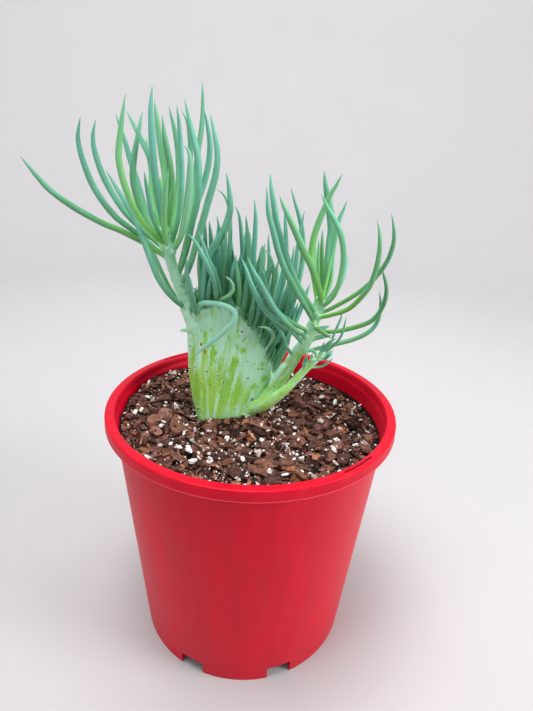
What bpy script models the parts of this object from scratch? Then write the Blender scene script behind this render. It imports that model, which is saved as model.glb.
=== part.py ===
# Potted chalk sticks of the crested kind: a red moulded nursery pot, its bark potting mix,
# a flattened fan of a stem with leaves along its crest, and three leafy shoots.
# The pot's axis is at x = y = 0 and it stands on z = 0. +Z is up and -Y is the front.
import math
import random

import bmesh
import bpy
import numpy as np
from mathutils import Vector

MM = 0.001
GAP = 0.3 * MM  # between pieces that touch

# The pot, a 200 mm nursery size
RIM_RADIUS = 102.5 * MM
MOUTH_RADIUS = 95.7 * MM
POT_HEIGHT = 186.0 * MM
RIM_SKIRT = 7.6 * MM
RIM_WALL = 1.5 * MM
WALL_TOP_RADIUS = 95.5 * MM
FOOT_RADIUS = 79.4 * MM
WALL = 1.8 * MM
FLOOR_TOP = 9.2 * MM
FLOOR = 2.0 * MM
STEP_HEIGHT = 11.0 * MM  # a faint moulded line round the foot
STEP = 0.3 * MM
PAD_RADIUS = 15.0 * MM  # flat pad under the middle of the floor
PAD_SLOPE = 2.0 * MM  # run of its side
FOOT_RING = 2.0 * MM  # width of the ring that the pot stands on
FOOT_RING_SLOPE = 2.5 * MM
FLOOR_CORNER = (3.0 * MM, 4.0 * MM)  # run and rise of the bevel between floor and wall
NECK_OUTSIDE = (1.1 * MM, 3.4 * MM)  # the wall flares out by this much and rises this far under the rim
NECK_INSIDE = (0.8 * MM, 2.6 * MM)
RIM_TOP = 1.8 * MM  # thickness of the rim's flat top
RIM_ROOT = 97.0 * MM  # radius at which the underside of the rim leaves the wall
RIM_EDGE = 0.7 * MM
MOUTH_BEVEL = 0.6 * MM  # the rim's top slopes down into the mouth over this width
POT_SEGMENTS = 54

# Six drain notches in three pairs, cut through the foot and the floor's edge
NOTCH_WIDTH = 18.0 * MM
NOTCH_HEIGHT = 11.0 * MM
NOTCH_CORNER = 2.5 * MM
NOTCH_INNER = 70.0 * MM
NOTCH_PAIR_TURN = math.radians(-1.7)
NOTCH_HALF_SPREAD = math.radians(23.5)

# Two thin label slots in the top of the rim
SLOT_RADIUS = 98.3 * MM
SLOT_WIDTH = 1.2 * MM
SLOT_SPAN = math.radians(16.0)
SLOT_DEPTH = 3.0 * MM
SLOT_STEPS = 4
SLOT_TURNS = (math.radians(43.0), math.radians(-137.0))

# The potting mix
SOIL_MIDDLE = 172.0 * MM
SOIL_SLOPE = 0.036  # the surface stands higher on the left
SOIL_RISE = 5.5 * MM  # and higher still at the back on the left
SOIL_RISE_LEFT = (20 * MM, 70 * MM)  # over this distance to the left of the axis
SOIL_RISE_BACK = (-40 * MM, 40 * MM)  # and over this distance behind it
SOIL_BUMP = 1.1 * MM
SOIL_RINGS = 7
CALM_EDGE = 2.0 * MM  # the surface is level this far round the foot of the plant
CALM_RADIUS = 16.0 * MM  # and grows rough over this distance
CHIP_COUNT = 32
CHIP_SEED = 11
CHIP_LENGTH = (9 * MM, 17 * MM)
CHIP_WIDTH = (4 * MM, 8 * MM)
CHIP_HEIGHT = (2.0 * MM, 3.2 * MM)
CHIP_TILT = 0.22
CHIP_OUTLINE = ((-1, -0.8), (0.7, -1), (1, 0.5), (-0.5, 1))  # corners in half lengths and half widths
CHIP_CLEARANCE = 3.0 * MM  # to the foot of the plant

# The foot of the plant, which stands in a plain hole in the mix
FOOT_LEFT = -41.5 * MM
FOOT_RIGHT = 3.5 * MM
FOOT_DEPTH_Y = 7.0 * MM
FOOT_THICKNESS = 12.0 * MM
FOOT_BOTTOM = 146.0 * MM
FOOT_TOP = 172.6 * MM

# Plant points are listed in millimetres as (x, z, y). x and z are read on an upright
# drawing plane, seen from the eye, and y is the point's real depth behind the pot's axis.
EYE = Vector((8.7, -335.2, 369.8)) * MM
DRAWING_PLANE = 5.0 * MM

# The growing edge of the fan, from its left shoulder to its low right end
CREST_LINE = (
    (-47.5, 246, 4), (-40, 252, 4.5), (-31, 256.5, 5), (-21, 257.5, 6), (-11, 254.5, 7.5),
    (-2.5, 245, 9.5), (5, 231, 12), (11, 216, 14.5), (15.5, 201, 17),
)
FAN_END_POINTS = 6  # round each end of the oval
FAN_SIDE_POINTS = 8  # along its front, and along its back
FAN_LEVELS = (0.0, 0.12, 0.26, 0.42, 0.58, 0.72, 0.84, 0.93, 0.98, 1.0)
FAN_THICKNESS = (12.0, 11.2, 10.4, 10.0, 9.8, 9.4, 8.6, 7.0, 5.0, 2.6)
FAN_BULGE = (0.0, 1.5, 2.0, 2.1, 1.4, 0.9, 0.5, 0.2, 0.0, 0.0)  # of the left side, out of the straight
FAN_HOLLOW = (0.0, 1.6, 2.8, 2.8, 1.2, 0.2, 0.0, 0.0, 0.0, 0.0)  # of the right side

# Stems as centre points and a radius at each, in millimetres
LEFT_STEM = (
    (-40, 232, 5), (-43, 242, 5), (-46.3, 252, 4.6), (-49.5, 262, 4.4), (-52.5, 271, 4.4),
    (-55.8, 280, 4.6), (-58.3, 290, 4.8), (-60.3, 300, 4.6), (-61, 307, 4.4),
)
LEFT_STEM_RADII = (4.2, 5.0, 4.9, 4.2, 3.9, 3.5, 3.4, 2.6, 1.2)
LEFT_SEAT_HEIGHT = 260.0 * MM
UPPER_STEM = (
    (-8, 172, 8), (-2, 175, 8), (4, 180, 7), (12.2, 189.6, 6), (19.4, 200.9, 5),
    (25.6, 212.4, 4), (30.6, 222.3, 3), (35, 229.4, 2.5), (38.7, 238, 2), (41, 246.1, 1.5),
    (42.3, 252.7, 1), (43, 259, 1), (43.3, 264, 1),
)
UPPER_STEM_RADII = (3.5, 4.6, 4.6, 4.2, 3.8, 3.4, 3.2, 3.1, 2.9, 2.7, 2.6, 2.1, 1.0)
UPPER_SEAT_HEIGHT = 192.0 * MM
LOWER_STEM = (
    (-6, 174, 6), (2, 178, 3.5), (10.8, 182.5, -1), (21.8, 192.4, -4), (30.1, 202.2, -3.7),
    (37, 211.7, -3.5), (42.2, 218.1, -3.5), (46.5, 222.5, -3.5),
)
LOWER_STEM_RADII = (3.4, 4.4, 4.2, 3.1, 2.6, 2.5, 2.6, 1.6)
LOWER_SEAT_HEIGHT = 188.0 * MM
STUB = ((-45, 236.5, 3.5), (-48.5, 236.3, 3), (-51.8, 236.2, 2.5))  # a cut shoot on the left edge
STUB_RADII = (1.4, 1.3, 1.2)

# Leaves: a width, then points from root to tip
LEFT_LEAVES = (
    (4.6, ((-62, 288, 5), (-79.5, 302, 2), (-92, 311.5, -1), (-102.5, 326, -4),
           (-108, 340, -6), (-111, 355, -8), (-108.5, 368, -10))),
    (4.4, ((-60, 291, 6), (-79.5, 308, 9), (-88, 318, 11), (-96.5, 333, 13),
           (-101, 347, 13), (-102, 357, 12), (-99.5, 367, 11))),
    (4.6, ((-58, 285, 4), (-72.5, 294.5, 1), (-89, 302.5, -4), (-100, 306.5, -7),
           (-116.5, 315, -11), (-130.5, 324.5, -14), (-139, 333.5, -15), (-147.5, 344.5, -15))),
    (4.2, ((-59, 294, 4), (-65.5, 299, -5), (-72.5, 306, -12), (-79.5, 317, -17),
           (-84.5, 330.5, -20), (-87, 343.5, -21), (-86.5, 353.5, -21), (-83.5, 369.5, -22),
           (-81, 381.5, -22))),
    (3.8, ((-59.5, 297, 6), (-68, 306, 14), (-72.5, 317.5, 20), (-76, 331, 26),
           (-80, 344.5, 31), (-83, 356.5, 34), (-87.5, 370.5, 36))),
    (3.8, ((-60, 299, 6), (-63.5, 318, 14), (-66.5, 340, 22), (-69.5, 350, 25),
           (-76.5, 364, 30), (-81, 372.5, 33))),
    (4.2, ((-59.5, 293, 4), (-71.5, 308, -4), (-76.5, 320.5, -8), (-79, 333.5, -10),
           (-78, 345.5, -10), (-74.5, 360.5, -8), (-71.5, 373, -5))),
    (3.2, ((-60, 300, 6), (-64, 315, 20), (-67.5, 337, 35), (-69, 348.5, 42), (-70, 358.5, 46))),
    (3.0, ((-60, 296, 4), (-67, 309, -12), (-70.5, 327.5, -20), (-72, 339, -24))),
    (5.2, ((-60.5, 301, 4), (-62.5, 315, -4), (-64.7, 330, -9), (-66, 344.5, -13),
           (-66.5, 362, -16), (-66.5, 375.5, -17), (-65.2, 386.3, -17))),
    (4.2, ((-60, 302, 6), (-58.8, 321, 11), (-59.3, 337.5, 16), (-61.2, 352, 20),
           (-63, 367, 23), (-64.3, 379, 25))),
    (4.0, ((-59.8, 301, 4), (-57.5, 315, 1), (-55.6, 330.5, -3), (-56, 343.5, -6),
           (-58.7, 359, -8), (-60, 371, -8))),
    (4.2, ((-58.5, 296, 6), (-54.5, 313, 18), (-51.3, 330.5, 27), (-50.7, 345, 34),
           (-52, 359.5, 39), (-56, 376.5, 42))),
    (4.0, ((-58, 291, 5), (-52.5, 308, 8), (-50, 323, 11), (-49, 338, 13), (-49.4, 352.5, 14),
           (-50, 366, 14), (-51.3, 377, 13))),
    (4.8, ((-53.5, 272, 5), (-47.5, 289, 3), (-43.3, 308, 1), (-39.6, 323.7, 1),
           (-38.6, 342, 2), (-40, 353, 3), (-43.4, 366.5, 5), (-46.7, 380.4, 7))),
    (3.6, ((-57, 287, 6), (-50, 303, 17), (-46, 325, 25), (-43.5, 350, 30), (-45, 367, 32),
           (-48.6, 374.3, 33))),
    (4.0, ((-57.5, 289, 4), (-50.5, 300, -4), (-47.5, 308, -8), (-44.8, 323.5, -13),
           (-43.5, 338.5, -16), (-43.6, 347, -17), (-44.6, 352, -17.5), (-46.8, 354.7, -18),
           (-49.5, 354.5, -18.5))),
    (4.0, ((-57, 287, 6), (-48, 305, 26), (-42, 328, 40), (-38.9, 353, 49), (-36.9, 363.5, 52),
           (-36.1, 377, 55), (-36.3, 390, 57))),
    (4.6, ((-53.5, 273, 5), (-49.5, 286, 11), (-45.5, 301, 15), (-41, 318.5, 19),
           (-36.2, 331.4, 22), (-32.7, 344.7, 23), (-31.8, 356, 23), (-33, 365.5, 22),
           (-35.4, 376, 20))),
    (4.8, ((-51, 267, 4), (-47.3, 275, -1), (-44, 284, -4), (-38.5, 303, -7),
           (-31.6, 327.2, -9), (-28.3, 339.2, -10), (-27.2, 350.8, -10), (-29, 361.8, -9),
           (-31.8, 373.4, -7))),
    (3.8, ((-57.5, 290, 6), (-62, 302, 26), (-67, 318, 42), (-68, 336, 54), (-66, 352, 60))),
    (3.8, ((-56, 284, 6), (-55, 300, 30), (-54, 318, 47), (-54.5, 336, 59), (-56, 352, 65))),
    (3.6, ((-59, 292, 4), (-60.5, 303, -12), (-60.5, 316, -24), (-59, 330, -32), (-57, 341, -35))),
    (3.0, ((-60.5, 302, 4.6), (-60.5, 315, 3.5), (-61.5, 327, 3.5), (-62.5, 337, 5))),
    (2.8, ((-60.2, 302, 4.2), (-58.6, 312, -4), (-56.6, 322, -9), (-55, 330, -11))),
    (2.6, ((-60.4, 302, 5), (-64.5, 311, 8), (-68, 320, 11))),
)
UPPER_LEAVES = (
    (4.4, ((42.5, 253, 1), (52, 258.3, -5), (65.3, 267.7, -11), (74.2, 276.2, -14),
           (82, 288, -17), (85.1, 296.7, -18), (86, 305.8, -18), (84.4, 314.7, -18),
           (82, 322.2, -17))),
    (4.6, ((41.5, 250, 0), (50, 252.5, -9), (63, 258.5, -17), (73.2, 271.6, -23),
           (75.9, 279.7, -25), (77.5, 289.2, -26), (77.6, 300.2, -26), (76.2, 309.6, -25),
           (73.7, 317.5, -23))),
    (4.4, ((38.5, 238.5, 2), (45, 240.3, 1), (53.8, 241, 0), (66.4, 244.3, -1),
           (77.4, 249.2, -2), (82.7, 255.5, -2), (85.7, 264.5, -2), (85.6, 273.8, -3),
           (82, 283.9, -4), (79.8, 288, -4.5))),
    (4.4, ((32, 223.5, 3), (39.8, 226.3, 7), (48.8, 229.3, 10), (57.6, 232.3, 12),
           (66.7, 235.4, 13), (75.6, 240.2, 14), (81, 245.8, 15), (83.5, 253.6, 15),
           (83.3, 263, 14), (81.2, 271.4, 13))),
    (6.0, ((43, 259, 2), (45.5, 280, 18), (45.7, 302, 30), (45.8, 311.7, 34),
           (42.2, 326.8, 39), (39.5, 336.6, 41), (37.8, 345, 42))),
    (4.4, ((42.5, 256, 1.5), (36.6, 281.5, 11), (34.4, 292.5, 14), (34.8, 303.2, 16),
           (37.1, 313.4, 18), (40.4, 323.7, 19), (43.3, 331.5, 19), (46.3, 337.4, 19),
           (49, 343.7, 18))),
    (3.8, ((43, 257, 1.5), (48, 275, 9), (47.8, 290, 13), (48.2, 302, 16), (49.7, 315, 18),
           (51.6, 321.3, 19), (53.7, 328.2, 19))),
    (4.8, ((42.5, 256, 1), (50.4, 264.6, -5), (53.5, 272.8, -8), (54.9, 280.8, -10),
           (55.3, 291.9, -12), (53.7, 301.6, -13), (50.7, 309.9, -14), (46.2, 317.4, -14),
           (42.6, 322.3, -14), (37, 331.8, -14))),
    (4.6, ((43, 258, 1), (43, 265.3, -4), (38.6, 277.1, -9), (34.5, 286.4, -13),
           (28.9, 296, -16), (23.3, 306.9, -18), (18.5, 315.5, -19), (14.3, 323, -19),
           (11.5, 329.3, -18))),
    (5.6, ((41.5, 251, 1), (33.7, 262.5, -6), (26.2, 273.6, -9), (21, 284.6, -11),
           (15.9, 296.9, -12), (11.4, 310, -12), (8.6, 322.6, -11), (6.2, 333.5, -10),
           (5.3, 342.3, -9))),
    (5.0, ((40.5, 246, 1), (34, 257, -11), (27, 267.5, -16), (18.5, 281.6, -19),
           (13.4, 292.9, -20), (10.5, 302, -20), (7.7, 310.8, -19), (5.1, 319, -18),
           (3.4, 333.9, -16))),
    (2.8, ((43.2, 261, 1), (42.5, 278, -1), (41, 295, -3), (40, 309.3, -4))),
    (2.6, ((43, 261, 1.5), (40.5, 277, 4), (39.3, 290, 6), (38.2, 303.7, 8))),
    (3.4, ((42.8, 257, 1.5), (38.5, 275, 16), (36.8, 288, 24), (36.5, 300, 28))),
    (3.2, ((43, 261, 1), (43.5, 272, -2), (44.5, 283, -5), (45.5, 292, -7))),
    (3.0, ((43.1, 261, 1), (45, 272, 5), (46.5, 284, 9), (47.5, 293, 11))),
    (2.8, ((43, 261, 1), (40.8, 271, -3), (39.5, 281, -8), (39, 288, -11))),
    (4.2, ((35, 229.5, 2.5), (26, 239, -6), (19.5, 243.5, -10), (8.6, 251, -15),
           (1.4, 260.7, -18), (-4.1, 271.9, -19), (-7.1, 280.3, -19), (-11, 289, -18))),
    (4.4, ((37.5, 235, 2), (28.7, 240, -6), (20.4, 246.5, -13), (13, 254.7, -19),
           (8.1, 262, -22.5), (2.6, 271.5, -25), (-2.8, 280.5, -26), (-7.2, 289.8, -26))),
    (4.0, ((39, 239, 2), (25, 246, -4), (16.5, 251.5, -8), (10.4, 258.8, -10),
           (6.7, 267.9, -11), (4, 278, -11), (0.4, 285, -11))),
    (3.0, ((29, 219.5, 3), (22, 228.5, -4), (20.2, 234, -6), (18, 238.5, -8), (14.9, 243, -9),
           (10.4, 245.3, -10))),
    (3.6, ((40, 243, 1.5), (44, 241.6, -7), (52.5, 236.2, -14))),
    (3.6, ((34.5, 229, 3), (40, 234.5, 11), (47, 237, 18), (53, 237.8, 22))),
    (3.2, ((39, 239, 2.5), (44, 242.3, 12), (51, 244.8, 20))),
    (3.8, ((42.8, 256, 1.5), (50, 266, 18), (56, 279, 32), (58, 294, 42))),
    (3.8, ((41.5, 248, 1.5), (40, 258, 20), (42, 270, 38), (45, 284, 50))),
)
LOWER_LEAVES = (
    (2.0, ((46, 222, -3.5), (52, 231, -6), (55.5, 243, -6.5), (58, 252, -7.5), (57, 257.5, -8.5))),
    (2.0, ((46, 222, -3), (54, 229.5, -4.5), (59.5, 238.5, -6), (61.5, 252, -6.5))),
    (2.4, ((45, 221, -3.5), (41, 226, -8), (36.5, 226.5, -11), (33.5, 222.5, -12))),
    (2.4, ((46, 222, -3.5), (48.5, 228, -7), (51.5, 232.5, -10), (56.5, 236, -12))),
    (2.4, ((45.5, 221.5, -3.5), (50, 223, 0.5), (55, 226.8, 3.5))),
    (2.3, ((44, 220, -3.5), (40.5, 218.8, -8), (38.5, 216, -10))),
    (2.6, ((45, 221, -3), (47, 220, 5), (51, 221, 11), (55, 225, 15))),
    (2.4, ((43, 219, -3.5), (39.8, 216.5, 2.5), (37.5, 217.5, 8.5), (36.3, 219.8, 12.5))),
)
CREST_LEAVES = (
    (4.4, ((-46, 251, 4), (-53, 256, -3), (-59.5, 262.5, -6), (-65.5, 272, -8),
           (-70, 284, -8.5), (-73.5, 295, -7), (-78.5, 309, -4), (-84, 319, -2),
           (-90, 329, 0), (-95.5, 339, 2))),
    (3.6, ((-46.5, 252, 5), (-53.5, 258.5, 9), (-59, 267.5, 14), (-63.5, 277, 18),
           (-68, 288, 22), (-74, 301, 26), (-81, 313, 29), (-87, 323, 31))),
    (3.3, ((-40, 247, 3), (-38, 255.6, -6), (-29.5, 256.8, -9), (-21, 255.4, -11),
           (-15.4, 252.7, -12), (-13.6, 248, -12.5), (-16.4, 242.5, -12), (-22, 236, -10.5),
           (-29, 229.4, -9), (-35.7, 223.5, -7.5), (-43, 217, -6.5))),
    (2.4, ((-29, 254, 3), (-26.5, 258.5, -4), (-19.9, 262, -7), (-15.7, 266.8, -9),
           (-17, 272.4, -10), (-22.3, 276.8, -10))),
    (2.6, ((8, 225, 11), (12.6, 234, 2), (11, 238.6, -2), (7.2, 241, -4), (2, 241.7, -5))),
    (4.8, ((-38, 250, 4), (-35.5, 275, -5), (-32, 290, -8), (-24.5, 301.3, -9),
           (-20.4, 312, -9), (-18.8, 321, -9), (-19.9, 332, -8), (-21.7, 341, -7))),
    (3.0, ((-18, 254, 7), (-19, 280, 16), (-18.5, 305, 22), (-19.2, 318, 24.5),
           (-21, 324.5, 25), (-23.8, 328.5, 25), (-27.6, 331, 25))),
    (3.2, ((-8, 251, 7), (-9, 275, 5), (-10.5, 295, 4), (-12, 309.7, 3), (-13.7, 317.4, 2),
           (-16.3, 321.5, 1.5))),
    (3.4, ((-5.5, 247, 7), (-5, 270, -1), (-6, 290, -4), (-8.9, 316, -6))),
    (3.6, ((-3, 243, 9), (-2.5, 270, 14), (-3, 293, 17), (-2.6, 304, 18), (-2.8, 317, 18),
           (-4, 326.3, 18))),
    (3.2, ((-27, 254, 5), (-24.5, 275, 4), (-23.5, 295, 3), (-27.3, 315.2, 2))),
    (4.4, ((3, 230, 12), (13, 262, 23), (17.5, 285, 28), (17, 304, 31), (15.2, 321, 33))),
    (4.2, ((9, 217, 15), (22, 250, 30), (28, 280, 40), (28.5, 297, 44), (26.8, 309.7, 46),
           (24.1, 318.4, 47), (20.9, 326.8, 48), (18.3, 334, 48))),
    (3.6, ((7, 222, 14), (19, 250, 21), (24, 275, 25), (25, 296, 28), (26.6, 311.8, 29),
           (27.8, 320.8, 29))),
    (3.2, ((5, 226, 13), (16, 252, 14), (21, 275, 14), (22.8, 298.4, 13))),
    (3.0, ((2, 233, 11), (9.5, 262, 3), (10.5, 280, -1), (8, 290, -3), (5, 294, -4),
           (2.9, 296, -4))),
    (3.0, ((-1, 241, 9), (5, 265, 9), (7, 285, 9), (5.8, 305.5, 9))),
    (3.4, ((-23, 254, 5), (-24.8, 267, -6), (-29.2, 280.3, -12), (-33, 287.5, -15),
           (-35.3, 294.8, -16), (-38.6, 303.8, -16))),
    (3.6, ((-28, 254, 4), (-27.2, 264, -8), (-29, 273.4, -14), (-32.5, 281.7, -19),
           (-36.9, 290.4, -22), (-41.1, 297.7, -23), (-45.7, 302.6, -23))),
    (3.2, ((-12, 252, 6), (-11.5, 265, -5), (-12.5, 275, -9), (-14, 283, -10), (-16, 288.5, -10))),
)

# Leaves that fill the crest by rule
CREST_COLUMNS = 21
CREST_ROWS = 5
CREST_SEED = 7
CREST_TRIES = 24
CREST_ENDS = (0.05, 0.985)  # the first and last root, as shares of the growing edge
CREST_LOW_FROM = 0.55  # past this share the edge runs down the right side
CREST_BARE_FROM = 0.58  # past this share the front rows have no leaves
CREST_ROOT_SPREAD = 2.3 * MM  # of the outer rows from the middle of the edge
CREST_ROOT_DEPTH = (3.0 * MM, 2.4 * MM)  # of the middle row, and more than that in the outer rows
CREST_LENGTH = (34 * MM, 62 * MM)
CREST_LENGTH_LOW = 16 * MM  # more than that on the right side
CREST_WIDTH = (3.2, 4.6)
CREST_LIFT = (0.02, 0.16)  # how much the leaves turn up towards their tips
LEAN_RIGHT = (-14, 30, 30, 13)  # degrees: at the left, added at the right, added where low, at random
LEAN_BACK = (6, 30, 10, 11)  # degrees: in the middle row, added in the outer rows, added where low, at random
LEAF_CLEARANCE = 0.9 * MM  # between leaves of different pieces
CREST_CLEARANCE = 0.3 * MM  # between leaves of the crest
ROOT_SHARE_TESTED = 0.22  # the first part of a leaf may touch its neighbours
LEAF_SAMPLES = 14

LEAF_SIDES = 5
STRAIGHT_SHARES = (0.0, 0.22, 0.48, 0.72, 0.9)
LEAF_SHARES = (0.0, 0.15, 0.34, 0.54, 0.74, 0.9)
CURL_SHARES = (0.0, 0.1, 0.22, 0.34, 0.45, 0.56, 0.68, 0.8, 0.92)
STRAIGHT_BEND = math.radians(30)  # a leaf that bends less than this gets the wider sections
CURL_BEND = math.radians(150)  # and one that bends further than this gets the closer ones
STEM_SIDES = 10

POT_RED = (0.50, 0.012, 0.025)
MIX_BROWN = (0.06, 0.032, 0.022)
FAN_GREEN = (0.30, 0.50, 0.28)
LEAF_GREENS = {
    "left_shoot": (0.12, 0.36, 0.20),
    "upper_right_shoot": (0.15, 0.38, 0.14),
    "lower_right_shoot": (0.10, 0.28, 0.15),
}


def clear_scene():
    for obj in list(bpy.data.objects):
        bpy.data.objects.remove(obj)


def plain_material(name, colour, roughness):
    material = bpy.data.materials.new(name)
    material.use_nodes = True
    shader = material.node_tree.nodes["Principled BSDF"]
    shader.inputs["Base Color"].default_value = (*colour, 1.0)
    shader.inputs["Roughness"].default_value = roughness
    shader.inputs["Metallic"].default_value = 0.0
    return material


def mesh_object(name, vertices, faces, collection=None):
    mesh = bpy.data.meshes.new(name)
    mesh.from_pydata([tuple(vertex) for vertex in vertices], [], faces)
    obj = bpy.data.objects.new(name, mesh)
    (collection or bpy.context.scene.collection).objects.link(obj)
    return obj


def bake_modifiers(obj):
    """Keep the evaluated shape and drop the modifiers."""
    graph = bpy.context.evaluated_depsgraph_get()
    mesh = bpy.data.meshes.new_from_object(obj.evaluated_get(graph))
    obj.modifiers.clear()
    obj.data = mesh


def join_in_one_body(body, parts, operation="UNION"):
    """One Boolean over all the parts, applied, after which the parts are removed."""
    group = bpy.data.collections.new(body.name + "_parts")
    bpy.context.scene.collection.children.link(group)
    for part in parts:
        group.objects.link(part)
        bpy.context.scene.collection.objects.unlink(part)
    boolean = body.modifiers.new("join", "BOOLEAN")
    boolean.operation = operation
    boolean.operand_type = "COLLECTION"
    boolean.collection = group
    boolean.solver = "MANIFOLD"
    bake_modifiers(body)
    for part in parts:
        bpy.data.objects.remove(part)
    bpy.data.collections.remove(group)
    keep_largest_body(body.data)


def keep_largest_body(mesh):
    """Drop loose scraps and fill sealed hollows, which are bodies of their own in the mesh."""
    work = bmesh.new()
    work.from_mesh(mesh)
    unseen = set(work.verts)
    bodies = []
    while unseen:
        found = {unseen.pop()}
        edge_of_search = list(found)
        while edge_of_search:
            vertex = edge_of_search.pop()
            for edge in vertex.link_edges:
                other = edge.other_vert(vertex)
                if other in unseen:
                    unseen.discard(other)
                    found.add(other)
                    edge_of_search.append(other)
        bodies.append(found)
    largest = max(bodies, key=len)
    scraps = [vertex for vertex in work.verts if vertex not in largest]
    bmesh.ops.delete(work, geom=scraps, context="VERTS")
    work.to_mesh(mesh)
    work.free()


def finish(obj, material, sharp_angle=math.radians(40)):
    obj.data.materials.clear()
    obj.data.materials.append(material)
    obj.data.shade_smooth()
    obj.data.set_sharp_from_angle(angle=sharp_angle)


def placed(x, z, y):
    """A drawn point in metres, carried along the line of sight to its real depth."""
    depth = y * MM
    reach = (depth - EYE.y) / (DRAWING_PLANE - EYE.y)
    return Vector((EYE.x + (x * MM - EYE.x) * reach, depth, EYE.z + (z * MM - EYE.z) * reach))


def smooth_route(points, steps=10):
    """Closely spaced points on a smooth curve through the given ones."""
    guides = [points[0] * 2 - points[1], *points, points[-1] * 2 - points[-2]]
    route = []
    for before, start, end, after in zip(guides, guides[1:], guides[2:], guides[3:]):
        for step in range(steps):
            t = step / steps
            bend = (2 * before - 5 * start + 4 * end - after) * t**2
            twist = (3 * start - before - 3 * end + after) * t**3
            route.append((2 * start + (end - before) * t + bend + twist) / 2)
    route.append(points[-1].copy())
    return route


def lengths_along(route):
    lengths = [0.0]
    for start, end in zip(route, route[1:]):
        lengths.append(lengths[-1] + (end - start).length)
    return lengths


def at_share(route, lengths, share):
    """The point and direction at a share of the route's length."""
    wanted = share * lengths[-1]
    index = 0
    while index < len(route) - 2 and lengths[index + 1] < wanted:
        index += 1
    span = lengths[index + 1] - lengths[index]
    t = (wanted - lengths[index]) / span
    return route[index].lerp(route[index + 1], t), (route[index + 1] - route[index]).normalized()


def share_at_height(route, lengths, height):
    for index, point in enumerate(route):
        if point.z >= height:
            return lengths[index] / lengths[-1]
    return 1.0


def swept(name, sections, sides, pointed):
    """A closed body through (centre, direction, radius) sections, ending in a point if asked."""
    across = sections[0][1].orthogonal().normalized()
    vertices = []
    for centre, direction, radius in sections:
        across = (across - direction * across.dot(direction)).normalized()
        up = direction.cross(across)
        for side in range(sides):
            angle = math.tau * side / sides
            vertices.append(centre + (across * math.cos(angle) + up * math.sin(angle)) * radius)
    faces = [tuple(reversed(range(sides)))]
    rings = len(sections)
    for ring in range(rings - 1):
        for side in range(sides):
            here = ring * sides
            after = (side + 1) % sides
            faces.append((here + side, here + after, here + sides + after, here + sides + side))
    last = (rings - 1) * sides
    if pointed is None:
        faces.append(tuple(range(last, last + sides)))
    else:
        vertices.append(pointed)
        tip = len(vertices) - 1
        faces += [(last + side, last + (side + 1) % sides, tip) for side in range(sides)]
    return mesh_object(name, vertices, faces)


def leaf_radius(width, share):
    """A finger leaf: narrow at its root, full past its middle and pointed over the last part."""
    swell = 0.68 + 0.32 * math.sin(min(share / 0.4, 1.0) * math.pi / 2)
    taper = 1.0 - max(0.0, (share - 0.58) / 0.42) ** 2.4
    return width * MM / 2 * swell * taper


def leaf_route(points):
    route = smooth_route([placed(*point) for point in points])
    return route, lengths_along(route)


def total_bend(route):
    directions = [(end - start).normalized() for start, end in zip(route, route[1:])]
    return sum(first.angle(second, 0.0) for first, second in zip(directions, directions[1:]))


def leaf_body(name, width, route, lengths):
    bend = total_bend(route)
    shares = CURL_SHARES if bend > CURL_BEND else LEAF_SHARES if bend > STRAIGHT_BEND else STRAIGHT_SHARES
    sections = []
    for share in shares:
        centre, direction = at_share(route, lengths, share)
        sections.append((centre, direction, leaf_radius(width, share)))
    return swept(name, sections, LEAF_SIDES, route[-1])


def leaf_samples(width, route, lengths, first_share=0.0):
    """Centre points and radii along a leaf, for the clearance between leaves."""
    samples = []
    for index in range(LEAF_SAMPLES + 1):
        share = first_share + (1.0 - first_share) * index / LEAF_SAMPLES
        centre, _ = at_share(route, lengths, share)
        samples.append((*centre, leaf_radius(width, min(share, 0.97))))
    return samples


def stem_route(points):
    route = smooth_route([placed(*point) for point in points], steps=6)
    return route, lengths_along(route)


def stem_radius(radii, share_of_points):
    """Radius at a place counted in listed points, from 0 to the last."""
    index = min(int(share_of_points), len(radii) - 2)
    t = share_of_points - index
    return (radii[index] * (1 - t) + radii[index + 1] * t) * MM


def stem_sections(points, radii, start=0.0, end=1.0, sections=9):
    route, lengths = stem_route(points)
    made = []
    for step in range(sections):
        share = start + (end - start) * step / (sections - 1)
        centre, direction = at_share(route, lengths, share)
        index = 0
        while index < len(route) - 2 and lengths[index + 1] < share * lengths[-1]:
            index += 1
        made.append((centre, direction, stem_radius(radii, index / 6)))
    return made


def seat_shares(points, height):
    """Where the fan's stump ends and where the shoot starts, a gap further on."""
    route, lengths = stem_route(points)
    share = share_at_height(route, lengths, height)
    return share, share + GAP / lengths[-1]


def stem_samples(points, radii):
    return [(*centre, radius) for centre, _, radius in stem_sections(points, radii, sections=30)]


def wall_radius(z):
    """Outside radius of the pot's tapered wall."""
    wall_top = POT_HEIGHT - RIM_SKIRT
    return FOOT_RADIUS + (WALL_TOP_RADIUS - FOOT_RADIUS) * z / wall_top


def turned(name, profile, segments):
    """A body turned about the Z axis from a profile that starts and ends on it."""
    vertices = [Vector((0, 0, profile[0][1]))]
    for radius, z in profile[1:-1]:
        for segment in range(segments):
            angle = math.tau * segment / segments
            vertices.append(Vector((radius * math.cos(angle), radius * math.sin(angle), z)))
    vertices.append(Vector((0, 0, profile[-1][1])))
    faces = []
    for segment in range(segments):
        after = (segment + 1) % segments
        faces.append((0, 1 + after, 1 + segment))
        for ring in range(len(profile) - 3):
            here = 1 + ring * segments
            above = here + segments
            faces.append((here + segment, here + after, above + after, above + segment))
        last = 1 + (len(profile) - 3) * segments
        faces.append((last + segment, last + after, len(vertices) - 1))
    return mesh_object(name, vertices, faces)


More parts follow.
